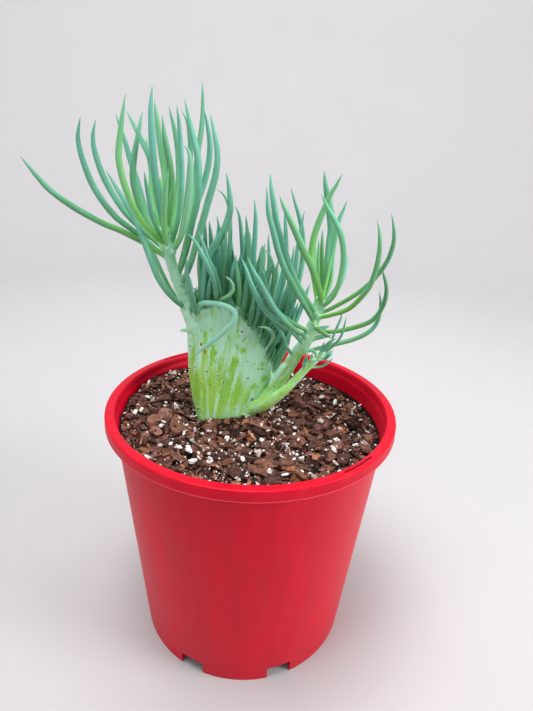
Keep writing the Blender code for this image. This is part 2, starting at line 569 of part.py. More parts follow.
def pot_profile():
    wall_top = POT_HEIGHT - RIM_SKIRT
    floor_under = FLOOR_TOP - FLOOR
    ring_inside = FOOT_RADIUS - FOOT_RING
    outside = [
        (0, 0), (PAD_RADIUS, 0), (PAD_RADIUS + PAD_SLOPE, floor_under),
        (ring_inside - FOOT_RING_SLOPE, floor_under), (ring_inside, 0), (FOOT_RADIUS, 0),
        (wall_radius(STEP_HEIGHT) - STEP, STEP_HEIGHT), (wall_radius(STEP_HEIGHT), STEP_HEIGHT + STEP),
        (WALL_TOP_RADIUS, wall_top), (WALL_TOP_RADIUS + NECK_OUTSIDE[0], wall_top + NECK_OUTSIDE[1]),
    ]
    skirt_inside = RIM_RADIUS - RIM_WALL
    under_rim = POT_HEIGHT - RIM_TOP
    rim = [
        (RIM_ROOT, under_rim), (skirt_inside, under_rim), (skirt_inside, wall_top),
        (RIM_RADIUS, wall_top), (RIM_RADIUS, POT_HEIGHT - RIM_EDGE), (RIM_RADIUS - RIM_EDGE, POT_HEIGHT),
        (MOUTH_RADIUS, POT_HEIGHT), (MOUTH_RADIUS - MOUTH_BEVEL, under_rim),
    ]
    run, rise = FLOOR_CORNER
    inside = [
        (WALL_TOP_RADIUS - NECK_INSIDE[0], wall_top + NECK_INSIDE[1]), (WALL_TOP_RADIUS - WALL, wall_top),
        (wall_radius(FLOOR_TOP + rise) - WALL, FLOOR_TOP + rise),
        (wall_radius(FLOOR_TOP) - WALL - run, FLOOR_TOP), (0, FLOOR_TOP),
    ]
    return outside + rim + inside


def polar(radius, angle, z):
    """A point at an angle counted from the front, positive towards the right."""
    return Vector((radius * math.sin(angle), -radius * math.cos(angle), z))


def notch_cutter(name, angle):
    half = NOTCH_WIDTH / 2
    outline = [
        (-half, -MM), (half, -MM), (half, NOTCH_HEIGHT - NOTCH_CORNER), (half - NOTCH_CORNER, NOTCH_HEIGHT),
        (NOTCH_CORNER - half, NOTCH_HEIGHT), (-half, NOTCH_HEIGHT - NOTCH_CORNER),
    ]
    sideways = Vector((math.cos(angle), math.sin(angle), 0))
    vertices = []
    for radius in (NOTCH_INNER, FOOT_RADIUS + 12 * MM):
        vertices += [polar(radius, angle, z) + sideways * x for x, z in outline]
    count = len(outline)
    faces = [tuple(range(count))[::-1], tuple(range(count, 2 * count))]
    faces += [(i, (i + 1) % count, count + (i + 1) % count, count + i) for i in range(count)]
    return outward(mesh_object(name, vertices, faces))


def slot_cutter(name, angle):
    inner, outer = SLOT_RADIUS - SLOT_WIDTH / 2, SLOT_RADIUS + SLOT_WIDTH / 2
    low, high = POT_HEIGHT - SLOT_DEPTH, POT_HEIGHT + MM
    vertices = []
    for step in range(SLOT_STEPS + 1):
        turn = angle + SLOT_SPAN * (step / SLOT_STEPS - 0.5)
        for radius, z in ((inner, low), (outer, low), (outer, high), (inner, high)):
            vertices.append(polar(radius, turn, z))
    faces = [(0, 1, 2, 3), tuple(range(4 * SLOT_STEPS, 4 * SLOT_STEPS + 4))[::-1]]
    for step in range(SLOT_STEPS):
        here = 4 * step
        faces += [(here + i, here + 4 + i, here + 4 + (i + 1) % 4, here + (i + 1) % 4) for i in range(4)]
    return outward(mesh_object(name, vertices, faces))


def outward(obj):
    work = bmesh.new()
    work.from_mesh(obj.data)
    bmesh.ops.recalc_face_normals(work, faces=work.faces)
    work.to_mesh(obj.data)
    work.free()
    return obj


def make_pot():
    pot = turned("pot", pot_profile(), POT_SEGMENTS)
    cutters = []
    for pair in range(3):
        for side in (-1, 1):
            angle = NOTCH_PAIR_TURN + math.tau * pair / 3 + side * NOTCH_HALF_SPREAD
            cutters.append(notch_cutter(f"notch_{pair}_{side}", angle))
    cutters += [slot_cutter(f"slot_{index}", turn) for index, turn in enumerate(SLOT_TURNS)]
    join_in_one_body(pot, cutters, "DIFFERENCE")
    finish(pot, plain_material("pot_plastic", POT_RED, 0.35), math.radians(30))


def foot_outline(outset):
    """The plant's foot seen from above, an oval with straight front and back."""
    radius = FOOT_THICKNESS / 2 + outset
    left, right = FOOT_LEFT + FOOT_THICKNESS / 2, FOOT_RIGHT - FOOT_THICKNESS / 2
    outline = []
    for middle, other, turn in ((right, left, 0.0), (left, right, math.pi)):
        for index in range(FAN_END_POINTS):
            angle = turn + math.pi * (index / (FAN_END_POINTS - 1) - 0.5)
            outline.append((middle + radius * math.cos(angle), FOOT_DEPTH_Y + radius * math.sin(angle)))
        for index in range(1, FAN_SIDE_POINTS + 1):
            x = middle + (other - middle) * index / (FAN_SIDE_POINTS + 1)
            outline.append((x, FOOT_DEPTH_Y + radius * math.cos(turn)))
    return outline


def prism(name, outline, bottom, top):
    count = len(outline)
    vertices = [Vector((x, y, bottom)) for x, y in outline] + [Vector((x, y, top)) for x, y in outline]
    faces = [tuple(range(count))[::-1], tuple(range(count, 2 * count))]
    faces += [(i, (i + 1) % count, count + (i + 1) % count, count + i) for i in range(count)]
    return mesh_object(name, vertices, faces)


def beside_foot(x, y):
    """Distance from the plant's foot, seen from above."""
    radius = FOOT_THICKNESS / 2
    past_end = abs(x - (FOOT_LEFT + FOOT_RIGHT) / 2) - (FOOT_RIGHT - FOOT_LEFT) / 2 + radius
    return math.hypot(max(0.0, past_end), y - FOOT_DEPTH_Y) - radius


def eased_share(value, start, end):
    """How far a value has come from start to end, from 0 to 1, with soft ends."""
    share = min(1.0, max(0.0, (value - start) / (end - start)))
    return share * share * (3 - 2 * share)


def soil_height(x, y):
    """Height of the mix's surface: a slight slope with low lumps, calm beside the plant."""
    calm = min(1.0, max(0.0, (beside_foot(x, y) - CALM_EDGE) / CALM_RADIUS))
    lumps = math.sin(x * 310 + 1.3) * math.cos(y * 270 - 0.4) + 0.6 * math.sin(x * 590 - y * 520)
    rise = SOIL_RISE * eased_share(-x, *SOIL_RISE_LEFT) * eased_share(y, *SOIL_RISE_BACK)
    return SOIL_MIDDLE + calm * (SOIL_BUMP * lumps - SOIL_SLOPE * x + rise)


def make_potting_mix():
    bottom = FLOOR_TOP + GAP
    corner = bottom + 4 * MM
    wall_top = SOIL_MIDDLE - 3 * MM
    profile = [
        (0, bottom), (wall_radius(FLOOR_TOP) - WALL - 3.6 * MM, bottom),
        (wall_radius(corner) - WALL - GAP * 1.4, corner), (wall_radius(wall_top) - WALL - GAP, wall_top),
    ]
    edge = wall_radius(SOIL_MIDDLE) - WALL - GAP
    profile += [(edge * (SOIL_RINGS - ring) / SOIL_RINGS, SOIL_MIDDLE) for ring in range(SOIL_RINGS)]
    profile.append((0, SOIL_MIDDLE))
    mix = turned("potting_mix", profile, POT_SEGMENTS)
    for vertex in mix.data.vertices:
        if vertex.co.z > wall_top + MM:
            vertex.co.z = soil_height(vertex.co.x, vertex.co.y)
    join_in_one_body(mix, bark_chips(edge))
    hole = prism("foot_hole", foot_outline(GAP), FOOT_BOTTOM - GAP, SOIL_MIDDLE + 30 * MM)
    join_in_one_body(mix, [hole], "DIFFERENCE")
    finish(mix, plain_material("mix", MIX_BROWN, 0.9))


def bark_chips(edge):
    """Flat pieces of bark lying half sunk all over the surface."""
    draw = random.Random(CHIP_SEED)
    chips = []
    while len(chips) < CHIP_COUNT:
        length, width, height = (draw.uniform(*size) for size in (CHIP_LENGTH, CHIP_WIDTH, CHIP_HEIGHT))
        distance, angle = (edge - length / 2 - 2 * MM) * math.sqrt(draw.random()), math.tau * draw.random()
        turn, tilt = math.tau * draw.random(), draw.uniform(-CHIP_TILT, CHIP_TILT)
        x, y = distance * math.cos(angle), distance * math.sin(angle)
        if beside_foot(x, y) > length / 2 + CHIP_CLEARANCE:
            centre = Vector((x, y, soil_height(x, y) + GAP))
            along = Vector((math.cos(turn), math.sin(turn), math.sin(tilt))).normalized()
            chips.append(bark_chip(f"chip_{len(chips)}", centre, along, (length, width, height)))
    return chips


def bark_chip(name, centre, along, size):
    length, width, height = size
    across = Vector((0, 0, 1)).cross(along).normalized()
    up = along.cross(across) * height / 2
    outline = [centre + along * (a * length / 2) + across * (b * width / 2) for a, b in CHIP_OUTLINE]
    vertices = [point - up for point in outline] + [point + up for point in outline]
    faces = [(3, 2, 1, 0), (4, 5, 6, 7)] + [(i, (i + 1) % 4, 4 + (i + 1) % 4, 4 + i) for i in range(4)]
    return mesh_object(name, vertices, faces)


def crest_place(share):
    """Point and direction on the fan's growing edge, from 0 at the left shoulder to 1 at the right end."""
    return at_share(*leaf_route(CREST_LINE), share)


def make_fan_body():
    """The flattened stem: oval sections from the foot, spreading to the growing edge."""
    foot = foot_outline(0.0)
    rings = [[Vector((x, y, FOOT_BOTTOM)) for x, y in foot]]
    for level, thickness, bulge, hollow in zip(FAN_LEVELS, FAN_THICKNESS, FAN_BULGE, FAN_HOLLOW):
        ring = []
        for x, y in foot:
            across = (x - FOOT_LEFT) / (FOOT_RIGHT - FOOT_LEFT)
            low = Vector((x, FOOT_DEPTH_Y, FOOT_TOP))
            side = (y - FOOT_DEPTH_Y) / (FOOT_THICKNESS / 2)
            inset = bulge * (1 - across) ** 3 + hollow * across**3
            middle = low.lerp(crest_place(across)[0], level)
            ring.append(middle + Vector((-inset, side * thickness / 2, 0)) * MM)
        rings.append(ring)
    count = len(foot)
    vertices = [point for ring in rings for point in ring]
    faces = [tuple(range(count))[::-1]]
    for ring in range(len(rings) - 1):
        here = ring * count
        faces += [(here + i, here + (i + 1) % count, here + count + (i + 1) % count, here + count + i)
                  for i in range(count)]
    top = (len(rings) - 1) * count
    first = FAN_END_POINTS // 2
    for i in range(first, first + count // 2 - 1):
        opposite, next_opposite = (FAN_END_POINTS - 1 - i) % count, (FAN_END_POINTS - 2 - i) % count
        faces.append((top + i, top + i + 1, top + next_opposite, top + opposite))
    return mesh_object("crested_fan", vertices, faces)


def crest_fill(others, own):
    """Leaves in rows along the growing edge, each clear of what is already there."""
    draw = random.Random(CREST_SEED)
    others, own = np.array(others), np.array(own)
    leaves = []
    for column in range(CREST_COLUMNS):
        first_row = CREST_ROWS // 2 if column > CREST_BARE_FROM * CREST_COLUMNS else 0
        for row in range(first_row, CREST_ROWS):
            side = row / (CREST_ROWS - 1) * 2 - 1
            for _ in range(CREST_TRIES):
                leaf = crest_leaf(draw, column, side)
                samples = np.array(leaf_samples(*leaf, first_share=ROOT_SHARE_TESTED))
                if clear_of(samples, others, LEAF_CLEARANCE) and clear_of(samples, own, CREST_CLEARANCE):
                    leaves.append(leaf)
                    own = np.vstack((own, samples))
                    break
    return leaves


def clear_of(samples, taken, clearance):
    offsets = samples[:, None, :3] - taken[None, :, :3]
    distances = np.sqrt((offsets**2).sum(axis=2))
    return bool((distances > samples[:, None, 3] + taken[None, :, 3] + clearance).all())


def crest_leaf(draw, column, side):
    """A slightly rising leaf whose root and lean follow its place on the growing edge."""
    share = (column + 0.5 + draw.uniform(-0.4, 0.4)) / CREST_COLUMNS
    share = min(CREST_ENDS[1], max(CREST_ENDS[0], share))
    low = max(0.0, share - CREST_LOW_FROM) / (1 - CREST_LOW_FROM)
    depth = CREST_ROOT_DEPTH[0] + CREST_ROOT_DEPTH[1] * abs(side)
    edge, direction = crest_place(share)
    inward = Vector((direction.z, 0, -direction.x)).normalized()
    root = edge + inward * depth + Vector((0, side * CREST_ROOT_SPREAD, 0))
    start, to_right, where_low, jitter = LEAN_RIGHT
    lean_x = math.radians(start + to_right * share + where_low * low + draw.uniform(-jitter, jitter))
    start, to_side, where_low, jitter = LEAN_BACK
    lean_y = math.radians(start + to_side * side + where_low * low + draw.uniform(-jitter, jitter))
    length = draw.uniform(*CREST_LENGTH) + CREST_LENGTH_LOW * low
    width = draw.uniform(*CREST_WIDTH)
    heading = Vector((math.tan(lean_x), math.tan(lean_y), 1.0)).normalized()
    lift = Vector((0, 0, draw.uniform(*CREST_LIFT)))
    route = smooth_route([root, root + heading * length * 0.35,
                          root + (heading + lift * 0.6).normalized() * length * 0.7,
                          root + (heading + lift * 1.6).normalized() * length])
    return width, route, lengths_along(route)


def listed_leaves(leaves):
    return [(width, *leaf_route(points)) for width, points in leaves]


def fuse_leaves(body, leaves, stems=()):
    parts = [leaf_body(f"{body.name}_leaf_{index}", *leaf) for index, leaf in enumerate(leaves)]
    join_in_one_body(body, parts + list(stems))


def make_shoot(name, stem, radii, seat_height, leaves):
    start = seat_shares(stem, seat_height)[1]
    sections = stem_sections(stem, radii, start=start)
    shoot = swept(name, sections, STEM_SIDES, None)
    fuse_leaves(shoot, listed_leaves(leaves))
    finish(shoot, plain_material(name + "_green", LEAF_GREENS[name], 0.5))


SHOOTS = (
    ("left_shoot", LEFT_STEM, LEFT_STEM_RADII, LEFT_SEAT_HEIGHT, LEFT_LEAVES),
    ("upper_right_shoot", UPPER_STEM, UPPER_STEM_RADII, UPPER_SEAT_HEIGHT, UPPER_LEAVES),
    ("lower_right_shoot", LOWER_STEM, LOWER_STEM_RADII, LOWER_SEAT_HEIGHT, LOWER_LEAVES),
)


def make_crested_fan():
    fan = make_fan_body()
    stumps = [swept("stub", stem_sections(STUB, STUB_RADII, sections=3), STEM_SIDES, None)]
    others = []
    for name, stem, radii, seat_height, leaves in SHOOTS:
        end = seat_shares(stem, seat_height)[0]
        stumps.append(swept(name + "_stump", stem_sections(stem, radii, end=end), STEM_SIDES, None))
        others += stem_samples(stem, radii)
        for leaf in listed_leaves(leaves):
            others += leaf_samples(*leaf)
    leaves = listed_leaves(CREST_LEAVES)
    own = [sample for leaf in leaves for sample in leaf_samples(*leaf, first_share=ROOT_SHARE_TESTED)]
    fuse_leaves(fan, leaves + crest_fill(others, own), stumps)
    finish(fan, plain_material("fan_green", FAN_GREEN, 0.55))


def main():
    clear_scene()
    make_pot()
    make_potting_mix()
    make_crested_fan()
    for shoot in SHOOTS:
        make_shoot(*shoot)


main()
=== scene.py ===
"""Potted chalk sticks of the crested kind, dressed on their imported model.

Places are in metres in the model's frame: the pot's axis is at x = y = 0, the pot stands on
z = 0, +Z is up and -Y is the front. Plant points are repeated from the part's own source.
"""

import functools
import math
import random

import bmesh
import bpy
import numpy as np
from bpy.props import FloatProperty, FloatVectorProperty, PointerProperty
from mathutils import Euler, Matrix, Quaternion, Vector, kdtree, noise


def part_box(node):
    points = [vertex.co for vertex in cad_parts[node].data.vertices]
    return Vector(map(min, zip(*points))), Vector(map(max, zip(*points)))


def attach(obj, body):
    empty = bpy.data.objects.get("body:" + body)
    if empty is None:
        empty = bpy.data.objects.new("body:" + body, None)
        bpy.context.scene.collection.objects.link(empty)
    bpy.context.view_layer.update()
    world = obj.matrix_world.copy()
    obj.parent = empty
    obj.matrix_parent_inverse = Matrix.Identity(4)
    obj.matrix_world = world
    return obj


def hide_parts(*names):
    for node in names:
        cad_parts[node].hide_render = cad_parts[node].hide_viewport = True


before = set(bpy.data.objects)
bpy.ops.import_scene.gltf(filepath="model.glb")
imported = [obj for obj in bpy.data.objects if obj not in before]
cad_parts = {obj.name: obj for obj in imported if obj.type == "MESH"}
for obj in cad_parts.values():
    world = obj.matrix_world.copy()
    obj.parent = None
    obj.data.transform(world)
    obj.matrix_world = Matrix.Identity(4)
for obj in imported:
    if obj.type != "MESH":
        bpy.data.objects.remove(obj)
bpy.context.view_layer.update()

bl_info = {
    "name": "Potted Chalk Sticks",
    "version": (1, 0, 0),
    "blender": (4, 5, 0),
    "location": "View3D > Sidebar > Chalk Sticks",
    "description": "Builds a crested succulent in a moulded nursery pot on its packed model",
    "category": "Add Mesh",
}

MM = 0.001
GAP = 0.3 * MM

# The pot
RIM_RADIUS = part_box("pot")[1].y
POT_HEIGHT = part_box("pot")[1].z
MOUTH_RADIUS = 95.7 * MM
RIM_SKIRT = 7.6 * MM
WALL_TOP_RADIUS = 95.5 * MM
FOOT_RADIUS = 79.4 * MM
RIM_ROOT = 97.0 * MM
WALL = 1.8 * MM
FLOOR_TOP = 9.2 * MM
FLOOR = 2.0 * MM
STEP_HEIGHT = 11.0 * MM
STEP = 0.3 * MM
PAD_RADIUS = 15.0 * MM
POT_SEGMENTS = 288
FILLET_STEPS = 5

# Six drain notches in three pairs, and two label slots in the rim
NOTCH_WIDTH = 18.0 * MM
NOTCH_HEIGHT = 11.0 * MM
NOTCH_CORNER = 2.0 * MM
NOTCH_INNER = 70.0 * MM
NOTCH_TURNS = [math.radians(-1.7 + 120 * pair + side * 23.5) for pair in range(3) for side in (-1, 1)]
SLOT_RADIUS = 98.3 * MM
SLOT_WIDTH = 1.6 * MM
SLOT_DEPTH = 3.0 * MM
SLOT_SPAN = math.radians(16.0)
SLOT_TURNS = (math.radians(43.0), math.radians(-137.0))

# The potting mix
MIX_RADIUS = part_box("potting_mix")[1].x
MIX_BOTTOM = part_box("potting_mix")[0].z
SOIL_MIDDLE = 172.0 * MM
SOIL_SLOPE = 0.036
SOIL_RISE = 5.5 * MM
SOIL_RISE_LEFT = (20 * MM, 70 * MM)
SOIL_RISE_BACK = (-40 * MM, 40 * MM)
SOIL_BUMP = 1.1 * MM
CALM_EDGE = 2.0 * MM
CALM_RADIUS = 16.0 * MM

# The foot of the plant
FOOT_LEFT = -41.5 * MM
FOOT_RIGHT = 3.5 * MM
FOOT_DEPTH_Y = 7.0 * MM
FOOT_THICKNESS = 12.0 * MM
FOOT_BOTTOM = 146.0 * MM
FOOT_TOP = 172.6 * MM

# Plant points are listed in millimetres as (x, z, y). x and z are read on an upright
# drawing plane, seen from the eye, and y is the point's real depth behind the pot's axis.
EYE = Vector((8.7, -335.2, 369.8)) * MM
DRAWING_PLANE = 5.0 * MM

# The growing edge of the fan, from its left shoulder to its low right end
CREST_LINE = (
    (-47.5, 246, 4), (-40, 252, 4.5), (-31, 256.5, 5), (-21, 257.5, 6), (-11, 254.5, 7.5),
    (-2.5, 245, 9.5), (5, 231, 12), (11, 216, 14.5), (15.5, 201, 17),
)
FAN_LEVELS = (0.0, 0.12, 0.26, 0.42, 0.58, 0.72, 0.84, 0.93, 0.98, 1.0)
FAN_THICKNESS = (12.0, 11.2, 10.4, 10.0, 9.8, 9.4, 8.6, 7.0, 5.0, 2.6)
FAN_BULGE = (0.0, 1.5, 2.0, 2.1, 1.4, 0.9, 0.5, 0.2, 0.0, 0.0)  # of the left side, out of the straight
FAN_HOLLOW = (0.0, 1.6, 2.8, 2.8, 1.2, 0.2, 0.0, 0.0, 0.0, 0.0)  # of the right side

# Stems as centre points and a radius at each, in millimetres
LEFT_STEM = (
    (-40, 232, 5), (-43, 242, 5), (-46.3, 252, 4.6), (-49.5, 262, 4.4), (-52.5, 271, 4.4),
    (-55.8, 280, 4.6), (-58.3, 290, 4.8), (-60.3, 300, 4.6), (-61, 307, 4.4),
)
LEFT_STEM_RADII = (4.2, 5.0, 4.9, 4.2, 3.9, 3.5, 3.4, 2.6, 1.2)
UPPER_STEM = (
    (-8, 172, 8), (-2, 175, 8), (4, 180, 7), (12.2, 189.6, 6), (19.4, 200.9, 5), (25.6, 212.4, 4),
    (30.6, 222.3, 3), (35, 229.4, 2.5), (38.7, 238, 2), (41, 246.1, 1.5), (42.3, 252.7, 1), (43, 259, 1),
    (43.3, 264, 1),
)
UPPER_STEM_RADII = (3.5, 4.6, 4.6, 4.2, 3.8, 3.4, 3.2, 3.1, 2.9, 2.7, 2.6, 2.1, 1.0)
LOWER_STEM = (
    (-6, 174, 6), (2, 178, 3.5), (10.8, 182.5, -1), (21.8, 192.4, -4), (30.1, 202.2, -3.7),
    (37, 211.7, -3.5), (42.2, 218.1, -3.5), (46.5, 222.5, -3.5),
)
LOWER_STEM_RADII = (3.4, 4.4, 4.2, 3.1, 2.6, 2.5, 2.6, 1.6)
STUB = ((-45, 236.5, 3.5), (-48.5, 236.3, 3), (-51.8, 236.2, 2.5))  # a cut shoot on the left edge
STUB_RADII = (1.4, 1.3, 1.2)

# Leaves: a width, then points from root to tip
LEFT_LEAVES = (
    (4.6, ((-62, 288, 5), (-79.5, 302, 2), (-92, 311.5, -1), (-102.5, 326, -4), (-108, 340, -6),
        (-111, 355, -8), (-108.5, 368, -10))),
    (4.4, ((-60, 291, 6), (-79.5, 308, 9), (-88, 318, 11), (-96.5, 333, 13), (-101, 347, 13),
        (-102, 357, 12), (-99.5, 367, 11))),
    (4.6, ((-58, 285, 4), (-72.5, 294.5, 1), (-89, 302.5, -4), (-100, 306.5, -7), (-116.5, 315, -11),
        (-130.5, 324.5, -14), (-139, 333.5, -15), (-147.5, 344.5, -15))),
    (4.2, ((-59, 294, 4), (-65.5, 299, -5), (-72.5, 306, -12), (-79.5, 317, -17), (-84.5, 330.5, -20),
        (-87, 343.5, -21), (-86.5, 353.5, -21), (-83.5, 369.5, -22), (-81, 381.5, -22))),
    (3.8, ((-59.5, 297, 6), (-68, 306, 14), (-72.5, 317.5, 20), (-76, 331, 26), (-80, 344.5, 31),
        (-83, 356.5, 34), (-87.5, 370.5, 36))),
    (3.8, ((-60, 299, 6), (-63.5, 318, 14), (-66.5, 340, 22), (-69.5, 350, 25), (-76.5, 364, 30),
        (-81, 372.5, 33))),
    (4.2, ((-59.5, 293, 4), (-71.5, 308, -4), (-76.5, 320.5, -8), (-79, 333.5, -10), (-78, 345.5, -10),
        (-74.5, 360.5, -8), (-71.5, 373, -5))),
    (3.2, ((-60, 300, 6), (-64, 315, 20), (-67.5, 337, 35), (-69, 348.5, 42), (-70, 358.5, 46))),
    (3.0, ((-60, 296, 4), (-67, 309, -12), (-70.5, 327.5, -20), (-72, 339, -24))),
    (5.2, ((-60.5, 301, 4), (-62.5, 315, -4), (-64.7, 330, -9), (-66, 344.5, -13), (-66.5, 362, -16),
        (-66.5, 375.5, -17), (-65.2, 386.3, -17))),
    (4.2, ((-60, 302, 6), (-58.8, 321, 11), (-59.3, 337.5, 16), (-61.2, 352, 20), (-63, 367, 23),
        (-64.3, 379, 25))),
    (4.0, ((-59.8, 301, 4), (-57.5, 315, 1), (-55.6, 330.5, -3), (-56, 343.5, -6), (-58.7, 359, -8),
        (-60, 371, -8))),
    (4.2, ((-58.5, 296, 6), (-54.5, 313, 18), (-51.3, 330.5, 27), (-50.7, 345, 34), (-52, 359.5, 39),
        (-56, 376.5, 42))),
    (4.0, ((-58, 291, 5), (-52.5, 308, 8), (-50, 323, 11), (-49, 338, 13), (-49.4, 352.5, 14),
        (-50, 366, 14), (-51.3, 377, 13))),
    (4.8, ((-53.5, 272, 5), (-47.5, 289, 3), (-43.3, 308, 1), (-39.6, 323.7, 1), (-38.6, 342, 2),
        (-40, 353, 3), (-43.4, 366.5, 5), (-46.7, 380.4, 7))),
    (3.6, ((-57, 287, 6), (-50, 303, 17), (-46, 325, 25), (-43.5, 350, 30), (-45, 367, 32),
        (-48.6, 374.3, 33))),
    (4.0, ((-57.5, 289, 4), (-50.5, 300, -4), (-47.5, 308, -8), (-44.8, 323.5, -13), (-43.5, 338.5, -16),
        (-43.6, 347, -17), (-44.6, 352, -17.5), (-46.8, 354.7, -18), (-49.5, 354.5, -18.5))),
    (4.0, ((-57, 287, 6), (-48, 305, 26), (-42, 328, 40), (-38.9, 353, 49), (-36.9, 363.5, 52),
        (-36.1, 377, 55), (-36.3, 390, 57))),
    (4.6, ((-53.5, 273, 5), (-49.5, 286, 11), (-45.5, 301, 15), (-41, 318.5, 19), (-36.2, 331.4, 22),
        (-32.7, 344.7, 23), (-31.8, 356, 23), (-33, 365.5, 22), (-35.4, 376, 20))),
    (4.8, ((-51, 267, 4), (-47.3, 275, -1), (-44, 284, -4), (-38.5, 303, -7), (-31.6, 327.2, -9),
        (-28.3, 339.2, -10), (-27.2, 350.8, -10), (-29, 361.8, -9), (-31.8, 373.4, -7))),
    (3.8, ((-57.5, 290, 6), (-62, 302, 26), (-67, 318, 42), (-68, 336, 54), (-66, 352, 60))),
    (3.8, ((-56, 284, 6), (-55, 300, 30), (-54, 318, 47), (-54.5, 336, 59), (-56, 352, 65))),
    (3.6, ((-59, 292, 4), (-60.5, 303, -12), (-60.5, 316, -24), (-59, 330, -32), (-57, 341, -35))),
    (3.0, ((-60.5, 302, 4.6), (-60.5, 315, 3.5), (-61.5, 327, 3.5), (-62.5, 337, 5))),
    (2.8, ((-60.2, 302, 4.2), (-58.6, 312, -4), (-56.6, 322, -9), (-55, 330, -11))),
    (2.6, ((-60.4, 302, 5), (-64.5, 311, 8), (-68, 320, 11))),
)
UPPER_LEAVES = (
    (4.4, ((42.5, 253, 1), (52, 258.3, -5), (65.3, 267.7, -11), (74.2, 276.2, -14), (82, 288, -17),
        (85.1, 296.7, -18), (86, 305.8, -18), (84.4, 314.7, -18), (82, 322.2, -17))),
    (4.6, ((41.5, 250, 0), (50, 252.5, -9), (63, 258.5, -17), (73.2, 271.6, -23), (75.9, 279.7, -25),
        (77.5, 289.2, -26), (77.6, 300.2, -26), (76.2, 309.6, -25), (73.7, 317.5, -23))),
    (4.4, ((38.5, 238.5, 2), (45, 240.3, 1), (53.8, 241, 0), (66.4, 244.3, -1), (77.4, 249.2, -2),
        (82.7, 255.5, -2), (85.7, 264.5, -2), (85.6, 273.8, -3), (82, 283.9, -4), (79.8, 288, -4.5))),
    (4.4, ((32, 223.5, 3), (39.8, 226.3, 7), (48.8, 229.3, 10), (57.6, 232.3, 12), (66.7, 235.4, 13),
        (75.6, 240.2, 14), (81, 245.8, 15), (83.5, 253.6, 15), (83.3, 263, 14), (81.2, 271.4, 13))),
    (6.0, ((43, 259, 2), (45.5, 280, 18), (45.7, 302, 30), (45.8, 311.7, 34), (42.2, 326.8, 39),
        (39.5, 336.6, 41), (37.8, 345, 42))),
    (4.4, ((42.5, 256, 1.5), (36.6, 281.5, 11), (34.4, 292.5, 14), (34.8, 303.2, 16), (37.1, 313.4, 18),
        (40.4, 323.7, 19), (43.3, 331.5, 19), (46.3, 337.4, 19), (49, 343.7, 18))),
    (3.8, ((43, 257, 1.5), (48, 275, 9), (47.8, 290, 13), (48.2, 302, 16), (49.7, 315, 18),
        (51.6, 321.3, 19), (53.7, 328.2, 19))),
    (4.8, ((42.5, 256, 1), (50.4, 264.6, -5), (53.5, 272.8, -8), (54.9, 280.8, -10), (55.3, 291.9, -12),
        (53.7, 301.6, -13), (50.7, 309.9, -14), (46.2, 317.4, -14), (42.6, 322.3, -14),
        (37, 331.8, -14))),
    (4.6, ((43, 258, 1), (43, 265.3, -4), (38.6, 277.1, -9), (34.5, 286.4, -13), (28.9, 296, -16),
        (23.3, 306.9, -18), (18.5, 315.5, -19), (14.3, 323, -19), (11.5, 329.3, -18))),
    (5.6, ((41.5, 251, 1), (33.7, 262.5, -6), (26.2, 273.6, -9), (21, 284.6, -11), (15.9, 296.9, -12),
        (11.4, 310, -12), (8.6, 322.6, -11), (6.2, 333.5, -10), (5.3, 342.3, -9))),
    (5.0, ((40.5, 246, 1), (34, 257, -11), (27, 267.5, -16), (18.5, 281.6, -19), (13.4, 292.9, -20),
        (10.5, 302, -20), (7.7, 310.8, -19), (5.1, 319, -18), (3.4, 333.9, -16))),
    (2.8, ((43.2, 261, 1), (42.5, 278, -1), (41, 295, -3), (40, 309.3, -4))),
    (2.6, ((43, 261, 1.5), (40.5, 277, 4), (39.3, 290, 6), (38.2, 303.7, 8))),
    (3.4, ((42.8, 257, 1.5), (38.5, 275, 16), (36.8, 288, 24), (36.5, 300, 28))),
    (3.2, ((43, 261, 1), (43.5, 272, -2), (44.5, 283, -5), (45.5, 292, -7))),
    (3.0, ((43.1, 261, 1), (45, 272, 5), (46.5, 284, 9), (47.5, 293, 11))),
    (2.8, ((43, 261, 1), (40.8, 271, -3), (39.5, 281, -8), (39, 288, -11))),
    (4.2, ((35, 229.5, 2.5), (26, 239, -6), (19.5, 243.5, -10), (8.6, 251, -15), (1.4, 260.7, -18),
        (-4.1, 271.9, -19), (-7.1, 280.3, -19), (-11, 289, -18))),
    (4.4, ((37.5, 235, 2), (28.7, 240, -6), (20.4, 246.5, -13), (13, 254.7, -19), (8.1, 262, -22.5),
        (2.6, 271.5, -25), (-2.8, 280.5, -26), (-7.2, 289.8, -26))),
    (4.0, ((39, 239, 2), (25, 246, -4), (16.5, 251.5, -8), (10.4, 258.8, -10), (6.7, 267.9, -11),
        (4, 278, -11), (0.4, 285, -11))),
    (3.0, ((29, 219.5, 3), (22, 228.5, -4), (20.2, 234, -6), (18, 238.5, -8), (14.9, 243, -9),
        (10.4, 245.3, -10))),
    (3.6, ((40, 243, 1.5), (44, 241.6, -7), (52.5, 236.2, -14))),
    (3.6, ((34.5, 229, 3), (40, 234.5, 11), (47, 237, 18), (53, 237.8, 22))),
    (3.2, ((39, 239, 2.5), (44, 242.3, 12), (51, 244.8, 20))),
    (3.8, ((42.8, 256, 1.5), (50, 266, 18), (56, 279, 32), (58, 294, 42))),
    (3.8, ((41.5, 248, 1.5), (40, 258, 20), (42, 270, 38), (45, 284, 50))),
)
